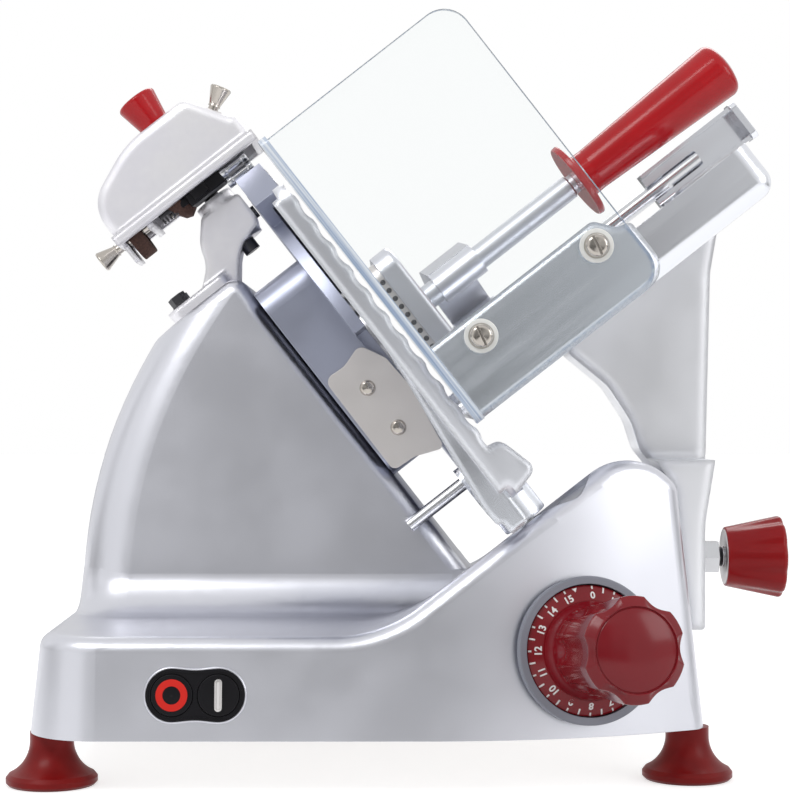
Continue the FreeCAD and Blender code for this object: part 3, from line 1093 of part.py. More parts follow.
def sharpener_cover():
    """Housing of the sharpener, open below, with a bush on the post and bearings for two spindles."""
    outer = prism(sharpener_profile(0.0), -COVER_HALF_WIDTH, COVER_HALF_WIDTH)
    outer = soften(outer, 5.0, lambda edge: abs(abs(middle_of(edge).y) - COVER_HALF_WIDTH) < 0.1
                   and middle_of(edge).z > COVER_BOTTOM_U + 1.0 and edge.BoundBox.ZMax > 150.0
                   and not abs(middle_of(edge).x - COVER_LEFT_N) < 0.1 and not middle_of(edge).x > 6.0)
    band = block(COVER_LEFT_N - 1.5, COVER_RIGHT_N, -COVER_HALF_WIDTH - 1.5, COVER_HALF_WIDTH + 1.5,
                 COVER_BOTTOM_U, COVER_BOTTOM_U + 6.5)
    end_plate = board(oblong(-15.0, 15.0, DEBURRER_U - 14.8, DEBURRER_U + 4.0, 3.0),
                      COVER_LEFT_N, COVER_LEFT_N + 3.0)
    inner = prism(sharpener_profile(3.0), -COVER_HALF_WIDTH + 3.0, COVER_HALF_WIDTH - 3.0)
    bush = rod(Vector(POST_N, 0, COVER_BOTTOM_U + 1.5), Vector(POST_N, 0, 183.0), 9.0)
    rib = block(-75.0, -71.0, -28.0, 28.0, DEBURRER_U - 6.0, 170.0)
    inward = GRINDER_BASE - GRINDER_DIRECTION * 13.0
    holder = rod(inward, GRINDER_BASE - GRINDER_DIRECTION * 1.0, 6.5)
    solid = outer.fuse(band).cut(inner).multiFuse([end_plate, bush, rib, holder])
    bores = [rod(Vector(POST_N, 0, 130), Vector(POST_N, 0, 190), POST_RADIUS + RUNNING_GAP),
             rod(Vector(-100, 0, DEBURRER_U), Vector(-60, 0, DEBURRER_U), 3.05),
             rod(GRINDER_BASE - GRINDER_DIRECTION * 20.0, GRINDER_BASE + GRINDER_DIRECTION * 5.0, 3.05)]
    return lean(solid.cut(bores).removeSplitter())


def sharpener_knob():
    """Red knob screwed to the top of the post, widest at its top."""
    profile = [(0, 184.5, 0), (9.2, 184.5, 0.6), (9.6, 189.0, 0), (12.8, 206.0, 2.0), (0, 207.5, 0)]
    knob = turned(profile, Vector(POST_N, 0, 0))
    return lean(knob.cut(rod(Vector(POST_N, 0, 180), Vector(POST_N, 0, 198.0), POST_RADIUS)))


def tulip(start, direction):
    """Bright push button with a waist, coned out to a flat end, on a spindle of its own."""
    profile = [(0, TULIP_START, 0), (3.8, TULIP_START, 0), (3.5, TULIP_START + 1.2, 0), (6.4, 14.6, 0.5),
               (5.9, 15.6, 0.4), (0, 15.6, 0)]
    return turned(profile, start, direction)


def deburring_button():
    """Button and spindle of the small stone at the sharpener's left end."""
    wall = Vector(COVER_LEFT_N - 1.5, 0, DEBURRER_U)
    spindle = rod(Vector(-70.0 - STONE_TRAVEL, 0, DEBURRER_U), wall + Vector(-4, 0, 0), 3.0)
    return lean(tulip(wall, Vector(-1, 0, 0)).fuse(spindle).removeSplitter())


def deburring_stone():
    """Small cup-shaped stone on its spindle."""
    profile = [(3.05, 0, 0), (15.0, 0, 0.8), (15.0, 9.0, 0.8), (11.5, 9.0, 0), (11.5, 5.0, 0), (3.05, 5.0, 0)]
    return lean(turned(profile, Vector(-89.0, 0, DEBURRER_U), Vector(1, 0, 0)))


def grinding_button():
    """Button and spindle of the large stone, leaning out of the cover's right shoulder."""
    inner_end = GRINDER_BASE - GRINDER_DIRECTION * (GRINDER_REACH + 7.0)
    spindle = rod(inner_end, GRINDER_BASE + GRINDER_DIRECTION * 4.0, 3.0)
    return lean(tulip(GRINDER_BASE, GRINDER_DIRECTION).fuse(spindle).removeSplitter())


def grinding_stone():
    """Large stone on the leaning spindle, chamfered towards the blade."""
    profile = [(3.05, -4.0, 0), (9.0, -4.0, 0), (12.0, -1.5, 0), (12.0, 4.0, 0.6), (3.05, 4.0, 0)]
    return lean(turned(profile, GRINDER_BASE - GRINDER_DIRECTION * GRINDER_REACH, GRINDER_DIRECTION))


def all_nodes():
    """Every named node of the machine with its shape."""
    front_left, front_right, back_left, back_right = FOOT_PLACES
    return {
        "base_housing": base_housing(),
        "foot_front_left": foot(front_left),
        "foot_front_right": foot(front_right),
        "foot_back_left": foot(back_left),
        "foot_back_right": foot(back_right),
        "base_screws": base_screws(),
        "bottom_cover": bottom_cover(),
        "cable_gland": cable_gland(),
        "switch_panel": switch_panel(),
        "stop_button": push_button(-1),
        "start_button": push_button(1),
        "switch_block": switch_block(),
        "dial_bezel": dial_bezel(),
        "dial_disc": dial_disc(),
        "dial_knob": dial_knob(),
        "dial_shaft": dial_shaft(),
        "blade_head": blade_head(),
        "blade": blade(),
        "blade_shaft": blade_shaft(),
        "blade_screws": blade_screws(),
        "blade_bearings": blade_bearings(),
        "blade_pulley": blade_pulley(),
        "drive_belt": drive_belt(),
        "motor": motor(),
        "motor_pulley": motor_pulley(),
        "motor_bracket": motor_bracket(),
        "slice_deflector": slice_deflector(),
        "deflector_screws": deflector_screws(),
        "gauge_plate": gauge_plate(),
        "gauge_support": gauge_support(),
        "gauge_nub": gauge_nub(),
        "gauge_slide_bar": gauge_slide_bar(),
        "gauge_guide_pin": gauge_guide_pin(),
        "carriage_guide_bar": carriage_guide_bar(),
        "carriage_shuttle": carriage_shuttle(),
        "carriage_arm": carriage_arm(),
        "food_tray": food_tray(),
        "tray_front_wall": tray_front_wall(),
        "hand_guard": hand_guard(),
        "guard_washers": guard_washers(),
        "guard_screws": guard_screws(),
        "lock_stud": lock_stud(),
        "lock_knob": lock_knob(),
        "pusher_guide_bar": pusher_guide_bar(),
        "guide_bar_bracket": guide_bar_bracket(),
        "pusher_sleeve": pusher_sleeve(),
        "pusher_arm": pusher_arm(),
        "pusher_rod": pusher_rod(),
        "pusher_handle": pusher_handle(),
        "press_plate": press_plate(),
        "spike_plate": spike_plate(),
        "sharpener_bracket": sharpener_bracket(),
        "sharpener_screws": sharpener_screws(),
        "sharpener_post": sharpener_post(),
        "sharpener_cover": sharpener_cover(),
        "sharpener_knob": sharpener_knob(),
        "deburring_button": deburring_button(),
        "deburring_stone": deburring_stone(),
        "grinding_button": grinding_button(),
        "grinding_stone": grinding_stone(),
    }


os.makedirs("parts", exist_ok=True)
for node, shape in all_nodes().items():
    whole = shape.Solids[0] if len(shape.Solids) == 1 else shape
    whole.translated(SET_DOWN).exportStep("parts/" + node + ".step")
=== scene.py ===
"""Looks of a gravity-feed electric meat slicer, built round its packed parts.

Sizes are in millimetres unless a name says otherwise, and meshes end up in metres in the machine's
frame: origin on the table under the middle of the machine, +Z up, the operator's side towards -Y.
"""
import logging
import math
from collections.abc import Callable
from dataclasses import dataclass
from enum import Enum

import bpy
from bpy.types import Material, Node, NodeSocket, NodeTree, Object
from mathutils import Matrix, Vector


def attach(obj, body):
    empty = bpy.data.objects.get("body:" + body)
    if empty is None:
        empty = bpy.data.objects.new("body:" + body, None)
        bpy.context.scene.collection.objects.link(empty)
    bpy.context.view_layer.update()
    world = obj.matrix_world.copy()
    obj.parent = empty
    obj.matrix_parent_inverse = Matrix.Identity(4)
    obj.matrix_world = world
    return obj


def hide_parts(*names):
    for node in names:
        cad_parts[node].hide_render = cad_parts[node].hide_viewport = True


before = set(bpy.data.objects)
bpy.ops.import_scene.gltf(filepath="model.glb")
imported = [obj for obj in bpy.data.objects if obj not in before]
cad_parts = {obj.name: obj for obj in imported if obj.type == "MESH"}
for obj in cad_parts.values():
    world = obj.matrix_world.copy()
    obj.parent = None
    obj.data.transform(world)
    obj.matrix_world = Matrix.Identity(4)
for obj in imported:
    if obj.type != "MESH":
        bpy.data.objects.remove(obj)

LOG = logging.getLogger("slicer")
MM = 0.001
# A wave texture of scale one repeats after this distance
WAVE_PERIOD = 2.0 * math.pi / 20.0

BLADE_CENTRE = Vector((-11.6, 32.0, 237.2)) * MM
FEED_SLOPE = math.radians(38.0)
DIAL_CENTRE = Vector((87.5, -158.0, 71.5)) * MM
DIAL_TURN, DIAL_TILT = math.radians(14.0), math.radians(83.0)
# The base's front wall leans back by its draft, from this depth at this height
FRONT_DRAFT = math.radians(6.0)
FRONT_DEPTH, FRONT_HEIGHT = -169.5, 27.4
SWITCH_X, SWITCH_HEIGHT = -110.2, 50.2
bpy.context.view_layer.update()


class Place(Enum):
    """Frames in which the sub-assemblies are drawn, as in the drawings of the machine."""

    LEANING = "leaning"
    DIAL = "dial"
    SWITCH = "switch"

    def matrix(self) -> Matrix:
        """Place the frame in the machine's frame.

        Returns:
            Its placement, in metres.
        """
        if self is Place.LEANING:
            return Matrix.Translation(BLADE_CENTRE) @ Matrix.Rotation(-FEED_SLOPE, 4, "Y")
        if self is Place.DIAL:
            turn = Matrix.Rotation(DIAL_TURN, 4, "Z") @ Matrix.Rotation(DIAL_TILT, 4, "X")
            return Matrix.Translation(DIAL_CENTRE) @ turn
        depth = FRONT_DEPTH + math.tan(FRONT_DRAFT) * (SWITCH_HEIGHT - FRONT_HEIGHT)
        centre = Vector((SWITCH_X, depth, SWITCH_HEIGHT)) * MM
        return Matrix.Translation(centre) @ Matrix.Rotation(math.radians(90.0) - FRONT_DRAFT, 4, "X")


def linear(colour: str) -> tuple[float, float, float, float]:
    """Turn an sRGB hex colour into linear values.

    Args:
        colour: Six hex digits after a hash.

    Returns:
        Red, green, blue and an alpha of one.
    """
    shares = [int(colour[k:k + 2], 16) / 255.0 for k in (1, 3, 5)]
    red, green, blue = (s / 12.92 if s <= 0.04045 else ((s + 0.055) / 1.055) ** 2.4 for s in shares)
    return red, green, blue, 1.0


def add_node(tree: NodeTree, kind: str, inputs: dict | None = None, **settings: str) -> Node:
    """Add one shader node with its settings, values and links.

    Args:
        tree: Node tree that gets the node.
        kind: Node's type name without the ShaderNode in front.
        inputs: Value, output socket, or node whose first output is meant, by the input's name or number.
        **settings: Properties of the node itself.

    Returns:
        The new node.
    """
    node = tree.nodes.new("ShaderNode" + kind)
    for name, value in settings.items():
        setattr(node, name, value)
    for name, value in (inputs or {}).items():
        if isinstance(value, Node):
            value = value.outputs[0]
        if isinstance(value, NodeSocket):
            tree.links.new(value, node.inputs[name])
        else:
            node.inputs[name].default_value = value
    return node


@dataclass(frozen=True)
class Finish:
    """A real material with its surface, as a procedural Principled material.

    Patterns read Object coordinates, so they keep their real size on every piece.

    Attributes:
        name: Plain name of the material and how its surface was made.
        slot: Slot of the record that it shows, not used.
        spread: How far the roughness wanders either side of its middle.
        cloud: Size of the soft patches in the finish.
        streak: How many times longer the patches run along each axis.
        grain: Spacing of the finest grain.
        grain_depth: Height of the grain.
        rings: Spacing of turning marks round the blade's axis, or zero.
        stretch: How many times longer than wide the grain runs along each axis.
        tint: Colour of the patches, which on the acrylic's edges are painted highlight lines.
        tint_share: How much of the patches' colour shows.
        tilted: Whether the grain follows the leaning frame.
        edge: Width over which sharp edges catch the light as if rounded.
        film: Whether it is a clear sheet that light passes straight through.
        ior: Index of refraction, left at the default on metals.
        specular: Strength of the reflection under a coloured skin, one half where it is full.
        nodes: Packed parts that it dresses.
    """

    name: str
    slot: str
    colour: str
    roughness: float
    spread: float = 0.05
    metallic: float = 0.0
    cloud: float = 40.0
    streak: tuple[float, float, float] = (1.0, 1.0, 1.0)
    grain: float = 0.6
    grain_depth: float = 0.01
    rings: float = 0.0
    stretch: tuple[float, float, float] = (1.0, 1.0, 1.0)
    tint: str = "#808080"
    tint_share: float = 0.0
    tilted: bool = False
    edge: float = 0.5
    film: bool = False
    ior: float = 1.5
    specular: float = 0.5
    nodes: tuple[str, ...] = ()

    def build(self) -> Material:
        """Make the material, or fetch the one that is there already.

        Returns:
            The material.
        """
        found = bpy.data.materials.get(self.name)
        if found:
            return found
        material = bpy.data.materials.new(self.name)
        material.use_nodes = True
        tree = material.node_tree
        shader = tree.nodes["Principled BSDF"]
        shader.inputs["Metallic"].default_value = self.metallic
        shader.inputs["IOR"].default_value = self.ior
        shader.inputs["Specular IOR Level"].default_value = self.specular
        place = add_node(tree, "TexCoord")
        turn = Matrix.Rotation(FEED_SLOPE if self.tilted else 0.0, 3, "Y")
        flat = add_node(tree, "Mapping", {"Vector": place.outputs["Object"], "Rotation": turn.to_euler(),
                                          "Location": -(turn @ BLADE_CENTRE)})
        patch = add_node(tree, "Mapping", {"Vector": flat, "Scale": self.scaled(self.cloud, self.streak)})
        clouds = add_node(tree, "TexNoise", {"Vector": patch, "Scale": 1.0, "Detail": 3.0}).outputs["Fac"]
        rough = add_node(tree, "MapRange", {"Value": clouds, "From Min": 0.2, "From Max": 0.8,
                                            "To Min": max(self.roughness - self.spread, 0.0),
                                            "To Max": self.roughness + self.spread},
                         interpolation_type="SMOOTHERSTEP")
        tree.links.new(rough.outputs[0], shader.inputs["Roughness"])
        shader.inputs["Base Color"].default_value = linear(self.colour)
        if self.tint_share:
            share = add_node(tree, "MapRange", {"Value": clouds, "From Min": 0.25, "From Max": 0.75,
                                                "To Max": self.tint_share}, interpolation_type="SMOOTHERSTEP")
            mix = add_node(tree, "Mix", {0: share, 6: linear(self.colour), 7: linear(self.tint)},
                           data_type="RGBA")
            tree.links.new(mix.outputs[2], shader.inputs["Base Color"])
        if self.rings:
            relief = add_node(tree, "TexWave", {"Vector": flat, "Scale": WAVE_PERIOD / (self.rings * MM),
                                                "Distortion": 1.5, "Detail Scale": 0.4},
                              wave_type="RINGS", rings_direction="X")
        else:
            fine = add_node(tree, "Mapping", {"Vector": flat,
                                              "Scale": self.scaled(self.grain, self.stretch)})
            relief = add_node(tree, "TexNoise", {"Vector": fine, "Scale": 1.0})
        bump = add_node(tree, "Bump", {"Height": relief.outputs["Fac"], "Distance": self.grain_depth * MM})
        if self.edge:
            corner = add_node(tree, "Bevel", {"Radius": self.edge * MM})
            tree.links.new(corner.outputs[0], bump.inputs["Normal"])
        tree.links.new(bump.outputs[0], shader.inputs["Normal"])
        if self.film:
            # The gloss shows a little head on and most of it at a slant
            head_on, at_slant, falloff = 0.03, 0.75, 4.0
            through = add_node(tree, "BsdfTransparent", {"Color": linear("#FDFEFE")})
            facing = add_node(tree, "LayerWeight").outputs["Facing"]
            slant = add_node(tree, "Math", {0: facing, 1: falloff}, operation="POWER")
            gloss = add_node(tree, "Math", {0: slant, 1: at_slant, 2: head_on}, operation="MULTIPLY_ADD")
            both = add_node(tree, "MixShader", {0: gloss, 1: through, 2: shader})
            tree.links.new(both.outputs[0], tree.nodes["Material Output"].inputs["Surface"])
        return material

    @staticmethod
    def scaled(size: float, times: tuple[float, float, float]) -> tuple[float, ...]:
        """Scale of a pattern of a size in millimetres that runs longer along some axes."""
        return tuple(1.0 / (size * MM * longer) for longer in times)


class Finishes:
    """Every finish of the machine."""

    # Sand-cast aluminium, tumbled and lightly polished: blurred reflections in soft patches
    CASTING = Finish("tumbled_cast_aluminium", "satin_aluminium", "#D0D1D8", 0.325, 0.04, 1.0, cloud=55.0,
                     grain=0.9, grain_depth=0.006, nodes=("base_housing", "pusher_arm", "press_plate",
                     "carriage_shuttle"))
    # Bead-blasted casting of the sharpener: nearly white, with broad soft lights
    BLASTED = Finish("bead_blasted_cast_aluminium", "satin_aluminium", "#F4F3F6", 0.38, 0.05, 0.85,
                     cloud=34.0, grain=0.7, grain_depth=0.008, tint="#CFCED6", tint_share=0.6, edge=4.0,
                     nodes=("sharpener_cover", "sharpener_bracket"))
    # The carriage's arm, polished by hand over rounded edges
    ARM = Finish("hand_polished_cast_aluminium", "satin_aluminium", "#E6E7EB", 0.33, 0.05, 1.0, cloud=45.0,
                 grain=0.9, grain_depth=0.005, edge=9.0, nodes=("carriage_arm",))
    # Cast aluminium of the head, a shade flatter, with painted shade: its colour is set darker and bluer than
    # the housing's for the shadow that it sits in
    HEAD = Finish("head_cast_aluminium_painted_shade", "satin_aluminium", "#A0A4B4", 0.37, 0.05, 1.0, cloud=35.0,
                  grain=0.7, grain_depth=0.006, nodes=("blade_head",))
    # Buffed aluminium: close streaks along the tray
    BUFFED = Finish("buffed_aluminium", "polished_aluminium", "#DFE1E7", 0.19, 0.07, 1.0, cloud=7.0,
                    streak=(14.0, 14.0, 1.0), grain=0.35, grain_depth=0.004, stretch=(60.0, 60.0, 1.0),
                    tilted=True, nodes=("food_tray", "guide_bar_bracket"))
    # The tray's front wall, buffed along its length over folded edges
    WALL = Finish("buffed_folded_sheet", "polished_aluminium", "#EEF1F9", 0.20, 0.06, 1.0, cloud=8.0,
                  streak=(16.0, 16.0, 1.0), grain=0.5, grain_depth=0.0012, stretch=(80.0, 80.0, 1.0),
                  tilted=True, edge=6.0, nodes=("tray_front_wall",))
    # The gauge's support, rounded by the polishing wheel
    POLISHED = Finish("wheel_polished_aluminium", "satin_aluminium", "#E0E3EA", 0.22, 0.04, 1.0, cloud=30.0,
                      grain=0.8, grain_depth=0.004, edge=4.0, nodes=("gauge_support",))
    # The gauge plate, its ribs and rim mirror-bright from use
    GAUGE = Finish("mirror_buffed_aluminium", "polished_aluminium", "#E2E4EA", 0.33, 0.05, 1.0, cloud=9.0,
                   streak=(1.0, 14.0, 14.0), grain=0.4, grain_depth=0.002, stretch=(60.0, 60.0, 1.0),
                   tilted=True, edge=5.0, nodes=("gauge_plate",))
    # Turned rod with a satin skin
    ROD = Finish("satin_turned_aluminium", "satin_aluminium", "#C6C8CE", 0.42, 0.05, 1.0, cloud=20.0,
                 grain=0.5, grain_depth=0.006, tilted=True, nodes=("pusher_rod", "pusher_sleeve"))
    # Stainless steel knife, ground in rings and polished; the rings are drawn coarse enough to show
    BLADE = Finish("ground_knife_steel", "stainless_blade", "#DADBDE", 0.16, 0.04, 1.0, cloud=25.0,
                   grain_depth=0.003, rings=0.9, tilted=True, nodes=("blade",))
    # Stainless sheet with a matt cold-rolled skin
    SHEET = Finish("cold_rolled_stainless", "stainless_sheet", "#D3CFCD", 0.38, 0.03, 1.0, cloud=20.0,
                   grain=0.4, grain_depth=0.004, nodes=("slice_deflector", "bottom_cover", "spike_plate"))
    # Nickel-plated turned parts
    NICKEL = Finish("bright_nickel_plate", "bright_screws", "#B5AFA8", 0.15, 0.04, 1.0, cloud=8.0,
                    grain=0.3, grain_depth=0.002, nodes=("deflector_screws", "guard_screws",
                    "deburring_button", "grinding_button", "blade_screws"))
    # Blackened steel
    BLACKENED = Finish("blackened_steel", "dark_steel", "#4A4A4D", 0.36, 0.07, 1.0, cloud=12.0, grain=0.4,
                       grain_depth=0.006, nodes=("sharpener_screws", "sharpener_post", "base_screws",
                       "motor_bracket"))
    # Centreless-ground bar
    BAR = Finish("ground_steel_bar", "steel_bar", "#C6C7CA", 0.20, 0.04, 1.0, cloud=25.0, grain=0.3,
                 grain_depth=0.003, nodes=("blade_shaft", "gauge_slide_bar", "gauge_guide_pin",
                 "carriage_guide_bar", "pusher_guide_bar", "lock_stud", "dial_shaft", "blade_bearings",
                 "motor_pulley", "blade_pulley"))
    # Glossy moulded nylon, bright red
    RED = Finish("moulded_red_nylon", "red_plastic", "#B8141C", 0.17, 0.03, cloud=30.0, grain=2.5,
                 grain_depth=0.006, tint="#980F16", tint_share=0.35, ior=1.53, specular=0.3,
                 nodes=("pusher_handle", "sharpener_knob"))
    # The same nylon from another mould, deeper red
    DEEP_RED = Finish("moulded_deep_red_nylon", "red_plastic", "#990E13", 0.22, 0.03, cloud=30.0, grain=2.5,
                      grain_depth=0.006, tint="#7C0B10", tint_share=0.35, edge=0.0, ior=1.53, specular=0.2,
                      nodes=("lock_knob",))
    # Glossy phenolic, darker red
    DARK_RED = Finish("moulded_dark_red_phenolic", "dark_red_plastic", "#84121D", 0.17, 0.03, cloud=30.0,
                      grain=6.0, grain_depth=0.004, tint="#6A0C16", tint_share=0.4, edge=0.0, ior=1.6,
                      specular=0.25, nodes=("dial_disc", "dial_knob"))
    # Moulded rubber with a soft sheen
    FOOT = Finish("moulded_red_rubber", "red_rubber", "#84100F", 0.36, 0.06, cloud=14.0, grain=1.2,
                  grain_depth=0.012, tint="#640A0D", tint_share=0.5, ior=1.52, specular=0.18,
                  nodes=("foot_front_left", "foot_front_right", "foot_back_left", "foot_back_right"))
    # Matt moulded grey ring
    GREY = Finish("moulded_grey_abs", "grey_plastic", "#868994", 0.42, 0.04, cloud=20.0, grain=0.5,
                  grain_depth=0.01, nodes=("dial_bezel",))
    # Satin moulded ABS of the switch
    BLACK = Finish("moulded_black_abs", "black_plastic", "#121115", 0.36, 0.05, cloud=15.0, grain=0.5,
                   grain_depth=0.012, edge=0.0, specular=0.18, nodes=("switch_panel", "stop_button",
                   "start_button", "switch_block"))
    # Matt rubber of the belt and the cable grommet
    BLACK_RUBBER = Finish("black_rubber", "black_rubber", "#1B1B1C", 0.55, 0.06, cloud=12.0, grain=0.5,
                          grain_depth=0.02, nodes=("cable_gland", "drive_belt"))
    # Cast sheet, clear enough to show only where it mirrors the room
    ACRYLIC = Finish("cast_acrylic", "clear_acrylic", "#FBFCFC", 0.03, 0.01, cloud=60.0, grain=30.0,
                     grain_depth=0.002, edge=0.0, film=True, ior=2.2, nodes=("hand_guard",))
    # Its sawn and polished edges, with painted highlights: fine white and blue streaks painted into the
    # colour stand for the light that the edges gather
    ACRYLIC_EDGE = Finish("polished_acrylic_edge_painted_glints", "clear_acrylic", "#EFF4FA", 0.12, 0.04, cloud=1.1,
                          streak=(1.0, 90.0, 90.0), grain=4.0, grain_depth=0.004, tint="#7E9AC0",
                          tint_share=0.85, tilted=True, edge=0.0, ior=1.49)
    # Turned nylon, white with a soft sheen
    NYLON = Finish("turned_white_nylon", "white_nylon", "#EFEFEC", 0.35, 0.04, cloud=10.0, grain=0.5,
                   grain_depth=0.01, ior=1.53, nodes=("gauge_nub", "guard_washers"))
    # Enamel on the motor's case, slightly pebbled
    PAINT = Finish("grey_motor_enamel", "grey_paint", "#6B7076", 0.35, 0.05, cloud=20.0, grain=0.8,
                   grain_depth=0.02, nodes=("motor",))
    # Vitrified grinding stone: loose brown grit
    STONE = Finish("vitrified_brown_stone", "brown_stone", "#4A332D", 0.85, 0.08, cloud=1.2, grain=0.45,
                   grain_depth=0.12, tint="#6B4D42", tint_share=0.8, nodes=("deburring_stone",
                   "grinding_stone"))
    # Pad-printed inks, dry and even
    WHITE_INK = Finish("white_pad_print", "white_nylon", "#EDEBEA", 0.45, 0.04, cloud=6.0, grain=0.4,
                       grain_depth=0.006)
    RED_INK = Finish("red_pad_print", "red_plastic", "#E02B22", 0.40, 0.04, cloud=6.0, grain=0.4,
                     grain_depth=0.006, specular=0.2)


def clear() -> None:
    """Leave edit mode and deselect everything."""
    if bpy.context.object and bpy.context.object.mode != "OBJECT":
        bpy.ops.object.mode_set(mode="OBJECT")
    bpy.ops.object.select_all(action="DESELECT")


def activate(piece: Object) -> None:
    """Select one object alone and make it active.

    Args:
        piece: The object.
    """
    clear()
    piece.select_set(True)
    bpy.context.view_layer.objects.active = piece


def edit(kind: str = "VERT") -> None:
    """Enter edit mode on the active object with everything selected.

    Args:
        kind: What is selected, VERT or EDGE.
    """
    bpy.ops.object.mode_set(mode="EDIT")
    bpy.ops.mesh.select_mode(type=kind)
    bpy.ops.mesh.select_all(action="SELECT")


def turned(name: str, profile: list[tuple[float, float]], steps: int = 96) -> Object:
    """Spin a profile about local Z into a closed solid.

    Args:
        name: Name of the piece.
        profile: Radius and height of each point, from the axis or round and back to the start.
        steps: Number of facets round the axis.

    Returns:
        The new object, its mesh in millimetres.
    """
    clear()
    radius, height = profile[0]
    bpy.ops.mesh.primitive_circle_add(vertices=3, radius=1.0, location=(0, 0, 0))
    piece = bpy.context.object
    piece.name = name
    edit()
    bpy.ops.mesh.merge(type="CENTER")
    piece.update_from_editmode()
    bpy.ops.transform.translate(value=Vector((radius, 0, height)) - piece.data.vertices[0].co)
    for (r0, z0), (r1, z1) in zip(profile, profile[1:]):
        bpy.ops.mesh.extrude_region_move(TRANSFORM_OT_translate={"value": (r1 - r0, 0, z1 - z0)})
    bpy.ops.mesh.select_all(action="SELECT")
    bpy.ops.mesh.spin(steps=steps, angle=2.0 * math.pi, center=(0, 0, 0), axis=(0, 0, 1))
    bpy.ops.mesh.select_all(action="SELECT")
    bpy.ops.mesh.remove_doubles(threshold=0.002)
    bpy.ops.mesh.normals_make_consistent(inside=False)
    bpy.ops.object.mode_set(mode="OBJECT")
    return piece


def seat(piece: Object, place: Matrix, angle: float = 35.0) -> Object:
    """Turn a piece into metres at its place, with its object at the origin.

    Args:
        piece: Finished object in millimetres.
        place: Placement in the machine's frame, in metres.
        angle: Edges flatter than this are shaded smooth, in degrees.

    Returns:
        The same object.
    """
    activate(piece)
    piece.data.transform(place @ Matrix.Scale(MM, 4))
    piece.matrix_world = Matrix.Identity(4)
    bpy.ops.object.shade_smooth_by_angle(angle=math.radians(angle))
    return piece


def hang(piece: Object, finish: Finish, body: str, *replaced: str) -> None:
    """Dress a piece and hang it on its body.

    Args:
        piece: Seated object.
        finish: Its finish.
        body: Body that carries it.
        *replaced: Nodes that it stands for.
    """
    piece.data.materials.clear()
    piece.data.materials.append(finish.build())
    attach(piece, body)
    if replaced:
        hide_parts(*replaced)
    LOG.info("%s rides on %s", piece.name, body)


def rounded(corners: list[tuple[float, float, float]], steps: int = 6) -> list[tuple[float, float]]:
    """Profile through (radius, height, corner radius) corners with an arc at each rounded one.

    Args:
        corners: Points of the profile, the first and last of them sharp.
        steps: Segments of each arc.

    Returns:
        Radius and height of each point of the profile.
    """
    points = [corners[0][:2]]
    for before, here, after in zip(corners, corners[1:], corners[2:]):
        corner, radius = Vector(here[:2]), here[2]
        back = (Vector(before[:2]) - corner).normalized()
        ahead = (Vector(after[:2]) - corner).normalized()
        half = back.angle(ahead) / 2.0
        if radius == 0.0 or half > math.radians(89.9):
            points.append(tuple(corner))
            continue
        middle = corner + (back + ahead).normalized() * (radius / math.sin(half))
        start = corner + back * (radius / math.tan(half)) - middle
        end = corner + ahead * (radius / math.tan(half)) - middle
        for step in range(steps + 1):
            share = step / steps
            points.append(tuple(middle + start.slerp(end, share) * radius))
    points.append(corners[-1][:2])
    return points


def refined(outline: list[tuple[float, float]], step: float) -> list[tuple[float, float]]:
    """Profile with points added so that no two are further apart than a step.

    Args:
        outline: Radius and height of each point.
        step: Longest distance allowed.

    Returns:
        The finer profile.
    """
    fine = [outline[0]]
    for point in outline[1:]:
        last = fine[-1]
        pieces = max(1, math.ceil(math.dist(last, point) / step))
        for part in range(1, pieces + 1):
            share = part / pieces
            fine.append((last[0] + (point[0] - last[0]) * share, last[1] + (point[1] - last[1]) * share))
    return fine


def joined(name: str, parts: list[Object]) -> Object:
    """Join several objects into one.

    Args:
        name: Name of the piece.
        parts: Objects that it is made of.

    Returns:
        The joined object.
    """
    clear()
    for part in parts:
        part.select_set(True)
    bpy.context.view_layer.objects.active = parts[0]
    bpy.ops.object.join()
    parts[0].name = name
    return parts[0]


def rounded_block(low: tuple[float, ...], high: tuple[float, ...], radius: float,
                  segments: int = 3) -> Object:
    """Make a block between two corners with every edge rounded.

    Args:
        low: Its lowest corner, in millimetres.
        high: Its highest corner.
        radius: Width of the rounding.
        segments: Steps of the rounding.

    Returns:
        The new object.
    """
    clear()
    bpy.ops.mesh.primitive_cube_add(size=1.0, location=(0, 0, 0))
    edit("EDGE")
    bpy.ops.transform.resize(value=[b - a for a, b in zip(low, high)])
    bpy.ops.transform.translate(value=[(a + b) / 2.0 for a, b in zip(low, high)])
    bpy.ops.mesh.bevel(offset=radius, segments=segments, affect="EDGES")
    bpy.ops.object.mode_set(mode="OBJECT")
    return bpy.context.object


def fluted(piece: Object, count: int, shift: float, half_width: float,
           depth_at: Callable[[float, float, float], float]) -> None:
    """Press equal flutes into a turned piece.

    Args:
        piece: Object turned about local Z, in millimetres.
        count: Number of flutes.
        shift: Angle that is added before the turn is divided, in degrees.
        half_width: Half the angle that a flute takes, in degrees.
        depth_at: Depth at a radius, a height and a share of the half width from the flute's middle.
    """
    period = 360.0 / count
    for vertex in piece.data.vertices:
        radius = math.hypot(vertex.co.x, vertex.co.y)
        angle = math.degrees(math.atan2(vertex.co.y, vertex.co.x)) + shift
        depth = depth_at(radius, vertex.co.z, abs(angle % period - period / 2.0) / half_width)
        if depth:
            vertex.co.x *= (radius - depth) / radius
            vertex.co.y *= (radius - depth) / radius


def held(value: float) -> float:
    """Hold a value between zero and one."""
    return min(max(value, 0.0), 1.0)


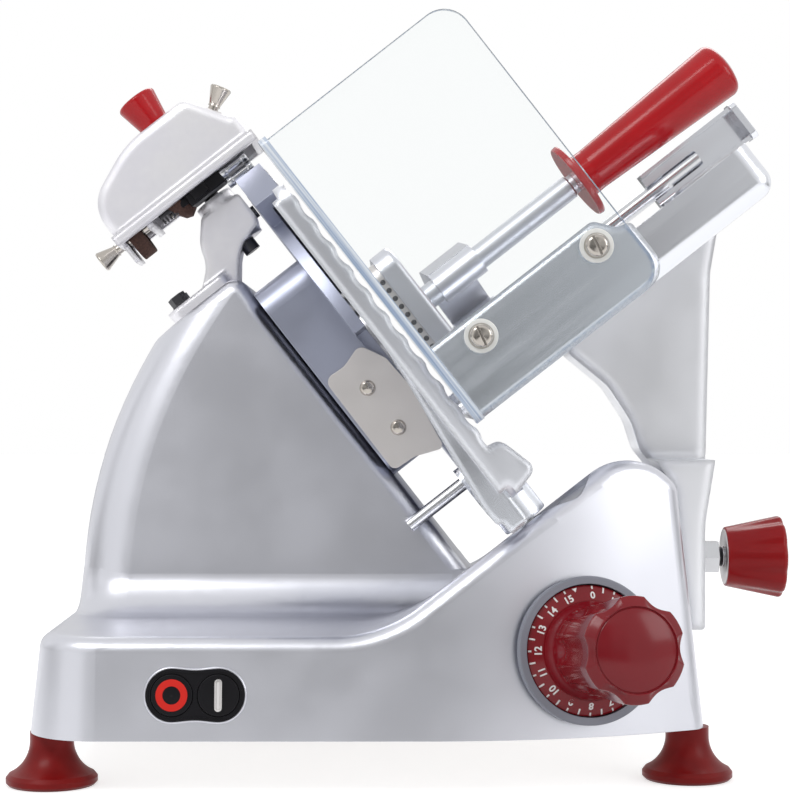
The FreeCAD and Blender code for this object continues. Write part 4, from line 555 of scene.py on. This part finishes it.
@dataclass
class SwitchMarks:
    """Printed marks on the two push buttons, a ring for stop and a bar for start, and the panel's bead.

    Attributes:
        spacing: Distance of each button from the panel's middle.
        face: Height of the buttons' domed faces.
        dome: Drop of the dome from its middle to the ring's outer edge.
        bead_waist: Half height of the bead at the panel's waist.
        bead_round: Radius of the bead's section.
    """

    spacing: float = 11.7
    face: float = 2.2
    dome: float = 0.3
    sunk: float = 0.35
    raised: float = 0.125
    ring_outer: float = 8.0
    ring_inner: float = 4.5
    bar_length: float = 16.1
    bar_width: float = 3.7
    bar_extra: float = 0.15
    bead_radius: float = 13.5
    bead_waist: float = 12.6
    bead_round: float = 0.75
    bead_lift: float = 0.1

    def build(self) -> None:
        """Make both marks, raised by their ink, and the bead."""
        low, high = self.face - self.sunk, self.face + self.raised
        outline = [(self.ring_inner, low), (self.ring_outer, low - self.dome),
                   (self.ring_outer, high - self.dome), (self.ring_inner, high - self.dome / 3.0),
                   (self.ring_inner, low)]
        ring = turned("stop_mark", outline)
        half, end = self.bar_width / 2.0, self.bar_length / 2.0
        bar = rounded_block((-half, -end, low), (half, end, high + self.bar_extra), self.bar_width * 0.49, 8)
        bar.name = "start_mark"
        for piece, side, finish, body in ((ring, -1.0, Finishes.RED_INK, "stop"),
                                          (bar, 1.0, Finishes.WHITE_INK, "start")):
            aside = Matrix.Translation(Vector((side * self.spacing, 0, 0)) * MM)
            hang(seat(piece, Place.SWITCH.matrix() @ aside), finish, body)
        hang(seat(self.bead(), Place.SWITCH.matrix(), 60.0), Finishes.CASTING, "housing")

    def on_outline(self, share: float) -> Vector:
        """Follow the figure of eight of the bead's middle line.

        Args:
            share: How far round it, from its right end, where one is all round.

        Returns:
            The point there.
        """
        turn = 2.0 * math.pi * share
        x = (self.spacing + self.bead_radius) * math.cos(turn)
        beyond = max(abs(x) - self.spacing, 0.0)
        waist = 0.5 + 0.5 * math.cos(math.pi * min(abs(x) / self.spacing, 1.0))
        height = math.sqrt(max(self.bead_radius ** 2 - beyond ** 2, 0.0))
        height -= (self.bead_radius - self.bead_waist) * waist
        return Vector((x, math.copysign(height, math.sin(turn)), 0))

    def bead(self) -> Object:
        """Draw a plain ring out into the raised bead of the casting round the panel.

        Returns:
            The new object.
        """
        ring_radius, apart = 10.0, 0.002
        clear()
        bpy.ops.mesh.primitive_torus_add(major_segments=144, minor_segments=12, major_radius=ring_radius,
                                         minor_radius=self.bead_round, location=(0, 0, 0))
        bead = bpy.context.object
        bead.name = "switch_bead"
        for vertex in bead.data.vertices:
            share = (math.atan2(vertex.co.y, vertex.co.x) / (2.0 * math.pi)) % 1.0
            outwards = math.hypot(vertex.co.x, vertex.co.y) - ring_radius
            along = self.on_outline(share + apart) - self.on_outline(share - apart)
            normal = Vector((along.y, -along.x, 0)).normalized()
            lift = Vector((0, 0, vertex.co.z + self.bead_lift))
            vertex.co = self.on_outline(share) + normal * outwards + lift
        return bead


@dataclass
class Dial:
    """Numbered thickness dial: its printed scale and its lobed knob.

    Attributes:
        flat_radius: Where the disc's flat face turns into its cone.
        sweep: Angle from the first number to the last.
        ink: Thickness of the print, half of it sunk.
        dip: Depth of the scoops between the lobes.
        groove_radius: Radius of the groove round the dome, which the scoops don't reach.
    """

    disc_radius: float = 33.0
    flat_radius: float = 25.5
    flat_height: float = 4.6
    rim_height: float = 1.4
    highest: int = 15
    sweep: float = 333.0
    first_angle: float = 85.5
    number_radius: float = 27.6
    number_size: float = 5.1
    ink: float = 0.24
    tick_width: float = 0.95
    long_tick: float = 3.2
    short_tick: float = 1.8
    tick_inset: float = 0.35
    pointer_angle: float = 102.5
    pointer_radius: float = 1.6
    lobes: int = 6
    dip: float = 2.8
    dip_half_width: float = 16.5
    scoop_start: float = 13.0
    knob_end: float = 70.0
    groove_radius: float = 20.8
    dome_radius: float = 19.7
    dome_height: float = 3.3

    def on_cone(self, angle: float, radius: float) -> Matrix:
        """Place something on the coned edge.

        Args:
            angle: Its angle from the right, in radians.
            radius: Its distance from the axis.

        Returns:
            Placement in millimetres, local Y pointing outwards down the cone.
        """
        drop, width = self.flat_height - self.rim_height, self.disc_radius - self.flat_radius
        height = self.flat_height - drop * (radius - self.flat_radius) / width
        slope = Matrix.Rotation(-math.atan2(drop, width), 4, "X")
        return Matrix.Rotation(angle - math.pi / 2, 4, "Z") @ Matrix.Translation((0, radius, height)) @ slope

    def angle_of(self, value: float) -> float:
        """Angle of a value on the scale, which runs clockwise, in radians."""
        return math.radians(self.first_angle - self.sweep * value / self.highest)

    def number(self, value: int) -> Object:
        """Print one number on the scale.

        Args:
            value: The number.

        Returns:
            The new object.
        """
        clear()
        bpy.ops.object.text_add(location=(0, 0, 0))
        text = bpy.context.object.data
        text.body = str(value)
        text.size = self.number_size
        text.align_x = text.align_y = "CENTER"
        text.offset = 0.16
        text.extrude = self.ink / 2.0
        bpy.ops.object.convert(target="MESH")
        piece = bpy.context.object
        piece.data.transform(self.on_cone(self.angle_of(value), self.number_radius))
        return piece

    def tick(self, step: int) -> Object:
        """Print one stroke at the disc's edge, short at a number and long between two.

        Args:
            step: Its place on the scale, in half numbers.

        Returns:
            The new object.
        """
        length = self.long_tick if step % 2 else self.short_tick
        corner = Vector((self.tick_width, length, self.ink)) / 2.0
        tick = rounded_block(-corner, corner, 0.1, 2)
        middle = self.disc_radius - self.tick_inset - length / 2.0
        tick.data.transform(self.on_cone(self.angle_of(step / 2.0), middle))
        return tick

    def pointer(self) -> Object:
        """Print a small triangle in the gap of the scale, its tip towards the middle.

        Returns:
            The new object.
        """
        clear()
        bpy.ops.mesh.primitive_cylinder_add(vertices=3, radius=self.pointer_radius, depth=self.ink,
                                            location=(0, 0, 0))
        pointer = bpy.context.object
        edit("EDGE")
        bpy.ops.mesh.bevel(offset=0.08, segments=2, affect="EDGES")
        bpy.ops.object.mode_set(mode="OBJECT")
        place = self.on_cone(math.radians(self.pointer_angle), self.disc_radius - self.pointer_radius)
        pointer.data.transform(place @ Matrix.Rotation(math.pi, 4, "Z"))
        return pointer

    def scoop(self, radius: float, height: float, aside: float) -> float:
        """Deepen the scoops between the lobes above the foot, and fade them out towards the dome.

        Args:
            radius: Distance of the point from the axis.
            height: Its height.
            aside: Its share of the half width from the scoop's middle.

        Returns:
            Depth of the scoop there.
        """
        if radius < self.groove_radius:
            return 0.0
        run_in, slant, fade_width, crown = 10.0, 3.0, 2.4, 6.0
        begin = held((height - self.scoop_start + slant * aside) / run_in)
        on_crown = height > self.knob_end - crown
        fade = held((radius - self.groove_radius) / fade_width) if on_crown else 1.0
        wave = 1.0 - min(aside, 1.0) ** 2
        return self.dip * wave * begin * begin * (3.0 - 2.0 * begin) * fade

    def knob(self) -> Object:
        """Turn the knob on its coned foot, with a dome in a ring groove, and scoop out its six lobes.

        Returns:
            The new object.
        """
        end, dome_steps, dome_power = self.knob_end, 16, 2.4
        foot = [(0, 4.6, 0), (25.0, 4.6, 0), (24.6, 6.4, 1.2), (22.0, 12.0, 8.0)]
        grip = [(22.3, 22.0, 20.0), (25.4, 56.0, 30.0), (25.9, end - 4.0, 1.4), (21.2, end - 0.9, 1.0)]
        groove = [(20.7, end - 0.9, 0.2), (20.3, end - 1.9, 0.2), (self.dome_radius, end - 1.3, 0)]
        outline = rounded(foot + grip + groove)
        for step in range(1, dome_steps + 1):
            out = math.cos(math.pi / 2.0 * step / dome_steps)
            rise = self.dome_height * (1.0 - out ** dome_power)
            outline.append((self.dome_radius * out, end - 1.3 + rise))
        knob = turned("dial_knob_grip", refined(outline, 1.0), steps=self.lobes * 36)
        fluted(knob, self.lobes, 180.0 / self.lobes, self.dip_half_width, self.scoop)
        return knob

    def build(self) -> None:
        """Make the printed scale and the knob."""
        place = Place.DIAL.matrix()
        numbers = [self.number(value) for value in range(self.highest + 1)]
        ticks = [self.tick(step) for step in range(2 * self.highest + 1)] + [self.pointer()]
        for name, parts in (("dial_numbers", numbers), ("dial_ticks", ticks)):
            hang(seat(joined(name, parts), place), Finishes.WHITE_INK, "dial")
        hang(seat(self.knob(), place, 50.0), Finishes.DARK_RED, "dial", "dial_knob")


@dataclass
class Guard:
    """Clear sheet in front of the carriage with polished edges.

    Attributes:
        clearance: Gap between the sheet and the wall behind it.
        lip_y: Depth in front of which the sheet is its turned lip.
        broad: How squarely a face that isn't an edge looks out of the sheet.
    """

    clearance: float = 0.08
    polish: float = 0.5
    lip_y: float = -230.6
    broad: float = 0.95

    def build(self) -> None:
        """Make the sheet from its packed part."""
        sheet = bpy.data.objects.new("guard_sheet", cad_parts["hand_guard"].data.copy())
        bpy.context.scene.collection.objects.link(sheet)
        activate(sheet)
        edit()
        bpy.ops.mesh.remove_doubles(threshold=0.00001)
        bpy.ops.object.mode_set(mode="OBJECT")
        shrink = sheet.modifiers.new("clearance", "DISPLACE")
        shrink.strength = -self.clearance * MM
        shrink.mid_level = 0.0
        edges = sheet.modifiers.new("polish", "BEVEL")
        edges.width = self.polish * MM
        edges.segments = 3
        edges.limit_method = "ANGLE"
        edges.angle_limit = math.radians(40.0)
        for modifier in (shrink, edges):
            bpy.ops.object.modifier_apply(modifier=modifier.name)
        bpy.ops.object.shade_smooth_by_angle(angle=math.radians(30.0))
        hang(sheet, Finishes.ACRYLIC, "carriage", "hand_guard")
        # The edge faces carry the painted white and blue highlight lines
        sheet.data.materials.append(Finishes.ACRYLIC_EDGE.build())
        to_drawing = Place.LEANING.matrix().inverted()
        for face in sheet.data.polygons:
            middle = to_drawing @ face.center / MM
            normal = to_drawing.to_3x3() @ face.normal
            square = abs(normal.y) if middle.y > self.lip_y else abs(normal.x)
            face.material_index = 0 if square > self.broad else 1


@dataclass
class Lock:
    """Thread of the carriage's lock between its collar and its knob, the knob and its metal face.

    Attributes:
        collar_end: Where the stud's collar ends, along the stud.
        plain_radius: Radius within which the knob's outer end has no flutes.
    """

    collar_end: float = 171.1
    knob_start: float = 174.9
    knob_end: float = 207.2
    stud_radius: float = 5.0
    pitch: float = 1.25
    thread_depth: float = 0.55
    face_radius: float = 15.4
    end_radius: float = 23.1
    flutes: int = 8
    flute_depth: float = 1.5
    flute_half_width: float = 15.0
    plain_radius: float = 12.0
    axis_y: float = -43.0
    axis_z: float = 110.0

    def flute(self, radius: float, height: float, aside: float) -> float:
        """Deepen the flutes towards the outer end and fade them out on its face.

        Args:
            radius: Distance of the point from the axis.
            height: Its distance along the stud.
            aside: Its share of the half width from the flute's middle.

        Returns:
            Depth of the flute there.
        """
        if radius < self.plain_radius:
            return 0.0
        fade_width, crown = 10.0, 2.0
        share = held((height - self.knob_start) / (self.knob_end - self.knob_start))
        on_crown = height > self.knob_end - crown
        fade = min((radius - self.plain_radius) / fade_width, 1.0) if on_crown else 1.0
        return self.flute_depth * share * fade * 0.5 * (1.0 + math.cos(math.pi * min(aside, 1.0)))

    def knob(self) -> Object:
        """Turn the coned knob with its rounded outer end, and flute it.

        Returns:
            The new object.
        """
        start, end = self.knob_start, self.knob_end
        outline = rounded([(0, start, 0), (16.5, start, 0.9), (self.end_radius, end - 1.0, 2.4),
                           (19.0, end + 0.3, 6.0), (0, end + 0.9, 0)], 8)
        knob = turned("lock_knob_grip", refined(outline, 1.5), steps=self.flutes * 24)
        fluted(knob, self.flutes, 0.0, self.flute_half_width, self.flute)
        return knob

    def build(self) -> None:
        """Make the thread, the face and the knob, turned about the stud."""
        crest, root = self.stud_radius + self.thread_depth, self.stud_radius + 0.02
        core, first = self.stud_radius - 0.5, self.collar_end + 0.1
        thread = [(root, first)]
        for turn in range(int((self.knob_start - self.collar_end - 0.2) / self.pitch)):
            start = first + turn * self.pitch
            thread += [(crest, start + self.pitch * 0.45), (crest, start + self.pitch * 0.55),
                       (root, start + self.pitch)]
        thread += [(core, thread[-1][1]), (core, first), thread[0]]
        inner, front, back = crest + 0.3, self.knob_start - 0.35, self.knob_start + 0.1
        face = rounded([(inner, back, 0), (inner, front, 0.1), (self.face_radius, front, 0.2),
                        (self.face_radius, back, 0), (inner, back, 0)], 3)
        place = Matrix.Translation(Vector((0, self.axis_y, self.axis_z)) * MM)
        place = place @ Matrix.Rotation(math.pi / 2, 4, "Y")
        hang(seat(turned("lock_thread", thread, 48), place), Finishes.BLACKENED, "carriage_lock")
        hang(seat(turned("lock_knob_face", face), place), Finishes.SHEET, "carriage_lock")
        hang(seat(self.knob(), place, 50.0), Finishes.DEEP_RED, "carriage_lock", "lock_knob")


@dataclass
class PressPins:
    """Row of dark pin heads along the front edge of the toothed plate.

    Attributes:
        plate_n: Middle of the plate's thickness along the feed.
        edge_y: Depth of the plate's front edge.
        reach: Height of the outermost pins above and below the middle.
        count: Number of pins.
        radius: Radius of a head.
    """

    plate_n: float = 10.4
    edge_y: float = -135.0
    reach: float = 21.5
    count: int = 9
    radius: float = 1.45

    def build(self) -> None:
        """Make the heads, turned about the depth axis."""
        profile = rounded([(0, -0.6, 0), (self.radius, -0.6, 0), (self.radius, 0.5, 0.5), (0, 0.8, 0)], 4)
        heads = []
        for step in range(self.count):
            height = -self.reach + 2.0 * self.reach * step / (self.count - 1)
            head = turned(f"pin_{step}", profile, 24)
            spot = Matrix.Translation((self.plate_n, self.edge_y, height))
            head.data.transform(spot @ Matrix.Rotation(math.pi / 2, 4, "X"))
            heads.append(head)
        pins = seat(joined("press_plate_pins", heads), Place.LEANING.matrix())
        hang(pins, Finishes.BLACKENED, "pusher")


@dataclass
class Mechanism:
    """What hangs below the sharpener's cover: a black carrier, its stop comb and two guide tubes.

    Heights are over the feed and depths from the blade's middle, as in the leaning frame.
    """

    bottom: float = 131.0
    top: float = 140.5
    front: float = -28.0
    back: float = -9.0
    teeth: int = 6
    tooth_pitch: float = 2.3
    tooth_width: float = 1.2
    comb_start: float = -66.0
    tube_start: float = -22.5

    def build(self) -> None:
        """Make the pieces and hang them on the sharpener."""
        front, back, bottom, top = self.front, self.back, self.bottom, self.top
        # A block in front of the post, with a stepped end and a raised face
        carrier = joined("sharpener_carrier", [
            rounded_block((-47.0, front + 2.0, bottom), (-22.0, back, top), 1.0),
            rounded_block((-52.0, front + 3.5, bottom + 3.0), (-46.0, back - 2.0, top), 0.8),
            rounded_block((-43.0, front, bottom + 1.4), (-33.0, front + 3.0, top), 0.7)])
        # Stop teeth that point down from a bar
        parts = [rounded_block((self.comb_start - 0.5, front + 6.0, top - 4.0),
                               (-51.0, front + 8.5, top), 0.4)]
        for tooth in range(self.teeth):
            left = self.comb_start + self.tooth_pitch * tooth
            parts.append(rounded_block((left, front + 6.2, top - 7.5),
                                       (left + self.tooth_width, front + 8.3, top - 3.0), 0.3))
        comb = joined("sharpener_comb", parts)
        # Polished tubes with collars, side by side along the feed
        outline = rounded([(0, 0, 0), (3.6, 0, 0.5), (3.6, 4.5, 0.4), (2.8, 4.5, 0), (2.8, 15.0, 0),
                           (3.5, 15.0, 0.4), (3.5, 19.0, 0.6), (2.0, 19.0, 0), (2.0, 17.5, 0),
                           (0, 17.5, 0)], 3)
        pair = []
        for y, height in ((front + 6.0, 136.2), (front + 9.5, 129.8)):
            tube = turned("tube", outline, 40)
            spot = Matrix.Translation((self.tube_start, y, height))
            tube.data.transform(spot @ Matrix.Rotation(math.pi / 2, 4, "Y"))
            pair.append(tube)
        for piece, finish in ((carrier, Finishes.BLACK), (comb, Finishes.BLACKENED),
                              (joined("sharpener_tubes", pair), Finishes.BAR)):
            hang(seat(piece, Place.LEANING.matrix()), finish, "sharpener")


@dataclass(frozen=True)
class Card:
    """Grey card that only reflections see, standing upright on the floor.

    Attributes:
        middle: Its middle, in metres.
        size: Width and height, in metres.
        inner: Brightness in its middle, where one is white.
        outer: Brightness towards its sides.
        along: Axis that its width runs along.
    """

    name: str
    middle: tuple[float, float, float]
    size: tuple[float, float]
    inner: float
    outer: float
    along: str = "X"

    def build(self) -> None:
        """Stand the card in its place."""
        clear()
        bpy.ops.mesh.primitive_plane_add(size=1.0, location=(0, 0, 0))
        card = bpy.context.object
        card.name = self.name
        edit()
        bpy.ops.transform.resize(value=(*self.size, 1.0))
        bpy.ops.object.mode_set(mode="OBJECT")
        turn = Matrix.Rotation(math.pi / 2 if self.along == "Y" else 0.0, 4, "Z")
        place = Matrix.Translation(self.middle) @ turn @ Matrix.Rotation(math.pi / 2, 4, "X")
        card.data.transform(place)
        card.data.materials.append(self.material())
        card.visible_camera = card.visible_diffuse = False
        card.visible_shadow = card.visible_transmission = False

    def material(self) -> Material:
        """Make the card's glow.

        Returns:
            The material.
        """
        material = bpy.data.materials.new(self.name)
        material.use_nodes = True
        tree = material.node_tree
        tree.nodes.clear()
        place = add_node(tree, "TexCoord").outputs["Object"]
        parts = add_node(tree, "SeparateXYZ", {0: place})
        centre = self.middle["XY".index(self.along)]
        aside = add_node(tree, "Math", {0: parts.outputs[self.along], 1: centre}, operation="SUBTRACT")
        across = add_node(tree, "Math", {0: aside}, operation="ABSOLUTE")
        # It brightens from the middle to the sides and from the floor up, over these metres
        near, far, rise_height = 0.15, 0.62, 0.6
        foot_level, top_level = 0.45, 1.3
        sides = add_node(tree, "MapRange", {"Value": across, "From Min": near, "From Max": far,
                                            "To Min": self.inner, "To Max": self.outer},
                         interpolation_type="SMOOTHERSTEP")
        rise = add_node(tree, "MapRange", {"Value": parts.outputs["Z"], "From Max": rise_height,
                                           "To Min": foot_level, "To Max": top_level},
                        interpolation_type="SMOOTHERSTEP")
        clouds = add_node(tree, "TexNoise", {"Vector": place, "Scale": 3.0, "Detail": 1.0})
        uneven = add_node(tree, "MapRange", {"Value": clouds.outputs["Fac"], "From Min": 0.2,
                                             "From Max": 0.8, "To Min": 0.72, "To Max": 1.28})
        lifted = add_node(tree, "Math", {0: sides, 1: rise}, operation="MULTIPLY")
        level = add_node(tree, "Math", {0: lifted, 1: uneven}, operation="MULTIPLY")
        glow = add_node(tree, "Emission", {"Color": linear("#FFFFFF"), "Strength": level})
        add_node(tree, "OutputMaterial", {"Surface": glow})
        return material


@dataclass(frozen=True)
class Lamp:
    """Soft box aimed at the middle of the machine.

    Attributes:
        at: Its place, in metres.
        size: Width and height, in metres.
        radiance: Brightness of its face, where one is white.
        aim: What it points at, in metres.
    """

    name: str
    at: tuple[float, float, float]
    size: tuple[float, float]
    radiance: float
    aim: tuple[float, float, float] = (0.0, 0.0, 0.18)

    def build(self) -> None:
        """Hang the lamp in its place."""
        data = bpy.data.lights.new(self.name, "AREA")
        data.shape = "RECTANGLE"
        data.size, data.size_y = self.size
        data.energy = self.radiance * math.pi * data.size * data.size_y
        lamp = bpy.data.objects.new(self.name, data)
        bpy.context.scene.collection.objects.link(lamp)
        lamp.location = self.at
        towards = Vector(self.aim) - Vector(self.at)
        lamp.rotation_euler = towards.to_track_quat("-Z", "Y").to_euler()


@dataclass
class Studio:
    """Pale floor, soft lamps and the camera at the operator's side.

    Attributes:
        floor_drop: How far the floor lies below the feet.
        floor_lift: Glow that the camera, metal and glass see on the floor, as on the background.
    """

    camera_place: tuple[float, float, float] = (-10.2, -1168.0, 198.0)
    lens: float = 90.0
    floor_drop: float = 0.2
    floor_lift: float = 0.64
    ambient: float = 0.6
    cards: tuple[Card, ...] = (
        Card("front_card", (-0.05, -2.2, 0.45), (2.3, 1.9), 0.27, 0.6),
        Card("back_card", (0.0, 2.2, 0.45), (2.6, 1.9), 0.35, 0.7),
        Card("left_card", (-2.3, 0.2, 0.45), (2.0, 1.9), 0.6, 0.9, "Y"),
        Card("right_card", (2.3, 0.2, 0.45), (2.0, 1.9), 0.6, 0.9, "Y"))
    lamps: tuple[Lamp, ...] = (
        Lamp("key_box", (-0.8, -1.1, 1.35), (0.9, 0.5), 6.0),
        Lamp("fill_box", (1.2, -0.8, 0.7), (0.7, 0.7), 2.5),
        Lamp("rim_box", (0.2, 1.0, 1.3), (1.2, 0.5), 3.0))

    def floor(self) -> None:
        """Lay the plain pale floor under the feet."""
        clear()
        bpy.ops.mesh.primitive_plane_add(size=12.0, location=(0, 0, -self.floor_drop * MM))
        floor = bpy.context.object
        floor.name = "floor"
        material = bpy.data.materials.new("pale_floor")
        material.use_nodes = True
        tree = material.node_tree
        shader = tree.nodes["Principled BSDF"]
        shader.inputs["Base Color"].default_value = linear("#D2D2D2")
        shader.inputs["Roughness"].default_value = 0.9
        lift = add_node(tree, "Math", {0: self.seen_directly(tree), 1: self.floor_lift},
                        operation="MULTIPLY")
        glow = add_node(tree, "Emission", {"Color": linear("#FFFFFF"), "Strength": lift})
        both = add_node(tree, "AddShader", {0: shader, 1: glow})
        tree.links.new(both.outputs[0], tree.nodes["Material Output"].inputs["Surface"])
        floor.data.materials.append(material)

    @staticmethod
    def seen_directly(tree: NodeTree) -> NodeSocket:
        """Tell rays from the camera, metal or glass from the light's own.

        Args:
            tree: Node tree of the material or the world.

        Returns:
            Socket that is one on such a ray and zero on others.
        """
        path = add_node(tree, "LightPath").outputs
        sharp = add_node(tree, "Math", {0: path["Is Camera Ray"], 1: path["Is Glossy Ray"]},
                         operation="MAXIMUM")
        return add_node(tree, "Math", {0: sharp, 1: path["Is Transmission Ray"]},
                        operation="MAXIMUM").outputs[0]

    def world(self) -> None:
        """Set even ambient light, with a white background for the camera, metal and glass."""
        world = bpy.data.worlds.new("studio")
        bpy.context.scene.world = world
        world.use_nodes = True
        tree = world.node_tree
        tree.nodes.clear()
        white = linear("#FFFFFF")
        ambient = add_node(tree, "Background", {"Color": white, "Strength": self.ambient})
        seen = add_node(tree, "Background", {"Color": white})
        mix = add_node(tree, "MixShader", {0: self.seen_directly(tree), 1: ambient, 2: seen})
        add_node(tree, "OutputWorld", {"Surface": mix})

    def camera(self) -> None:
        """Set the level camera in front of the operator's side."""
        data = bpy.data.cameras.new("camera")
        data.lens = self.lens
        camera = bpy.data.objects.new("camera", data)
        bpy.context.scene.collection.objects.link(camera)
        camera.location = Vector(self.camera_place) * MM
        camera.rotation_euler = (math.pi / 2, 0, 0)
        bpy.context.scene.camera = camera

    def build(self) -> None:
        """Set up floor, world, cards, lamps and camera."""
        self.floor()
        self.world()
        for fitting in self.cards + self.lamps:
            fitting.build()
        self.camera()
        bpy.context.scene.view_settings.view_transform = "Standard"


def dress_nodes() -> None:
    """Give every carried-over node its finish."""
    for finish in (value for value in vars(Finishes).values() if isinstance(value, Finish)):
        for node in finish.nodes:
            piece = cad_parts[node]
            piece.data.materials.clear()
            piece.data.materials.append(finish.build())


def main() -> None:
    """Dress the packed parts, add the modelled pieces and set up the studio."""
    logging.basicConfig(level=logging.INFO, format="%(name)s: %(message)s")
    dress_nodes()
    for assembly in (SwitchMarks(), Dial(), Guard(), Lock(), PressPins(), Mechanism()):
        assembly.build()
    Studio().build()


if __name__ == "__main__":
    main()
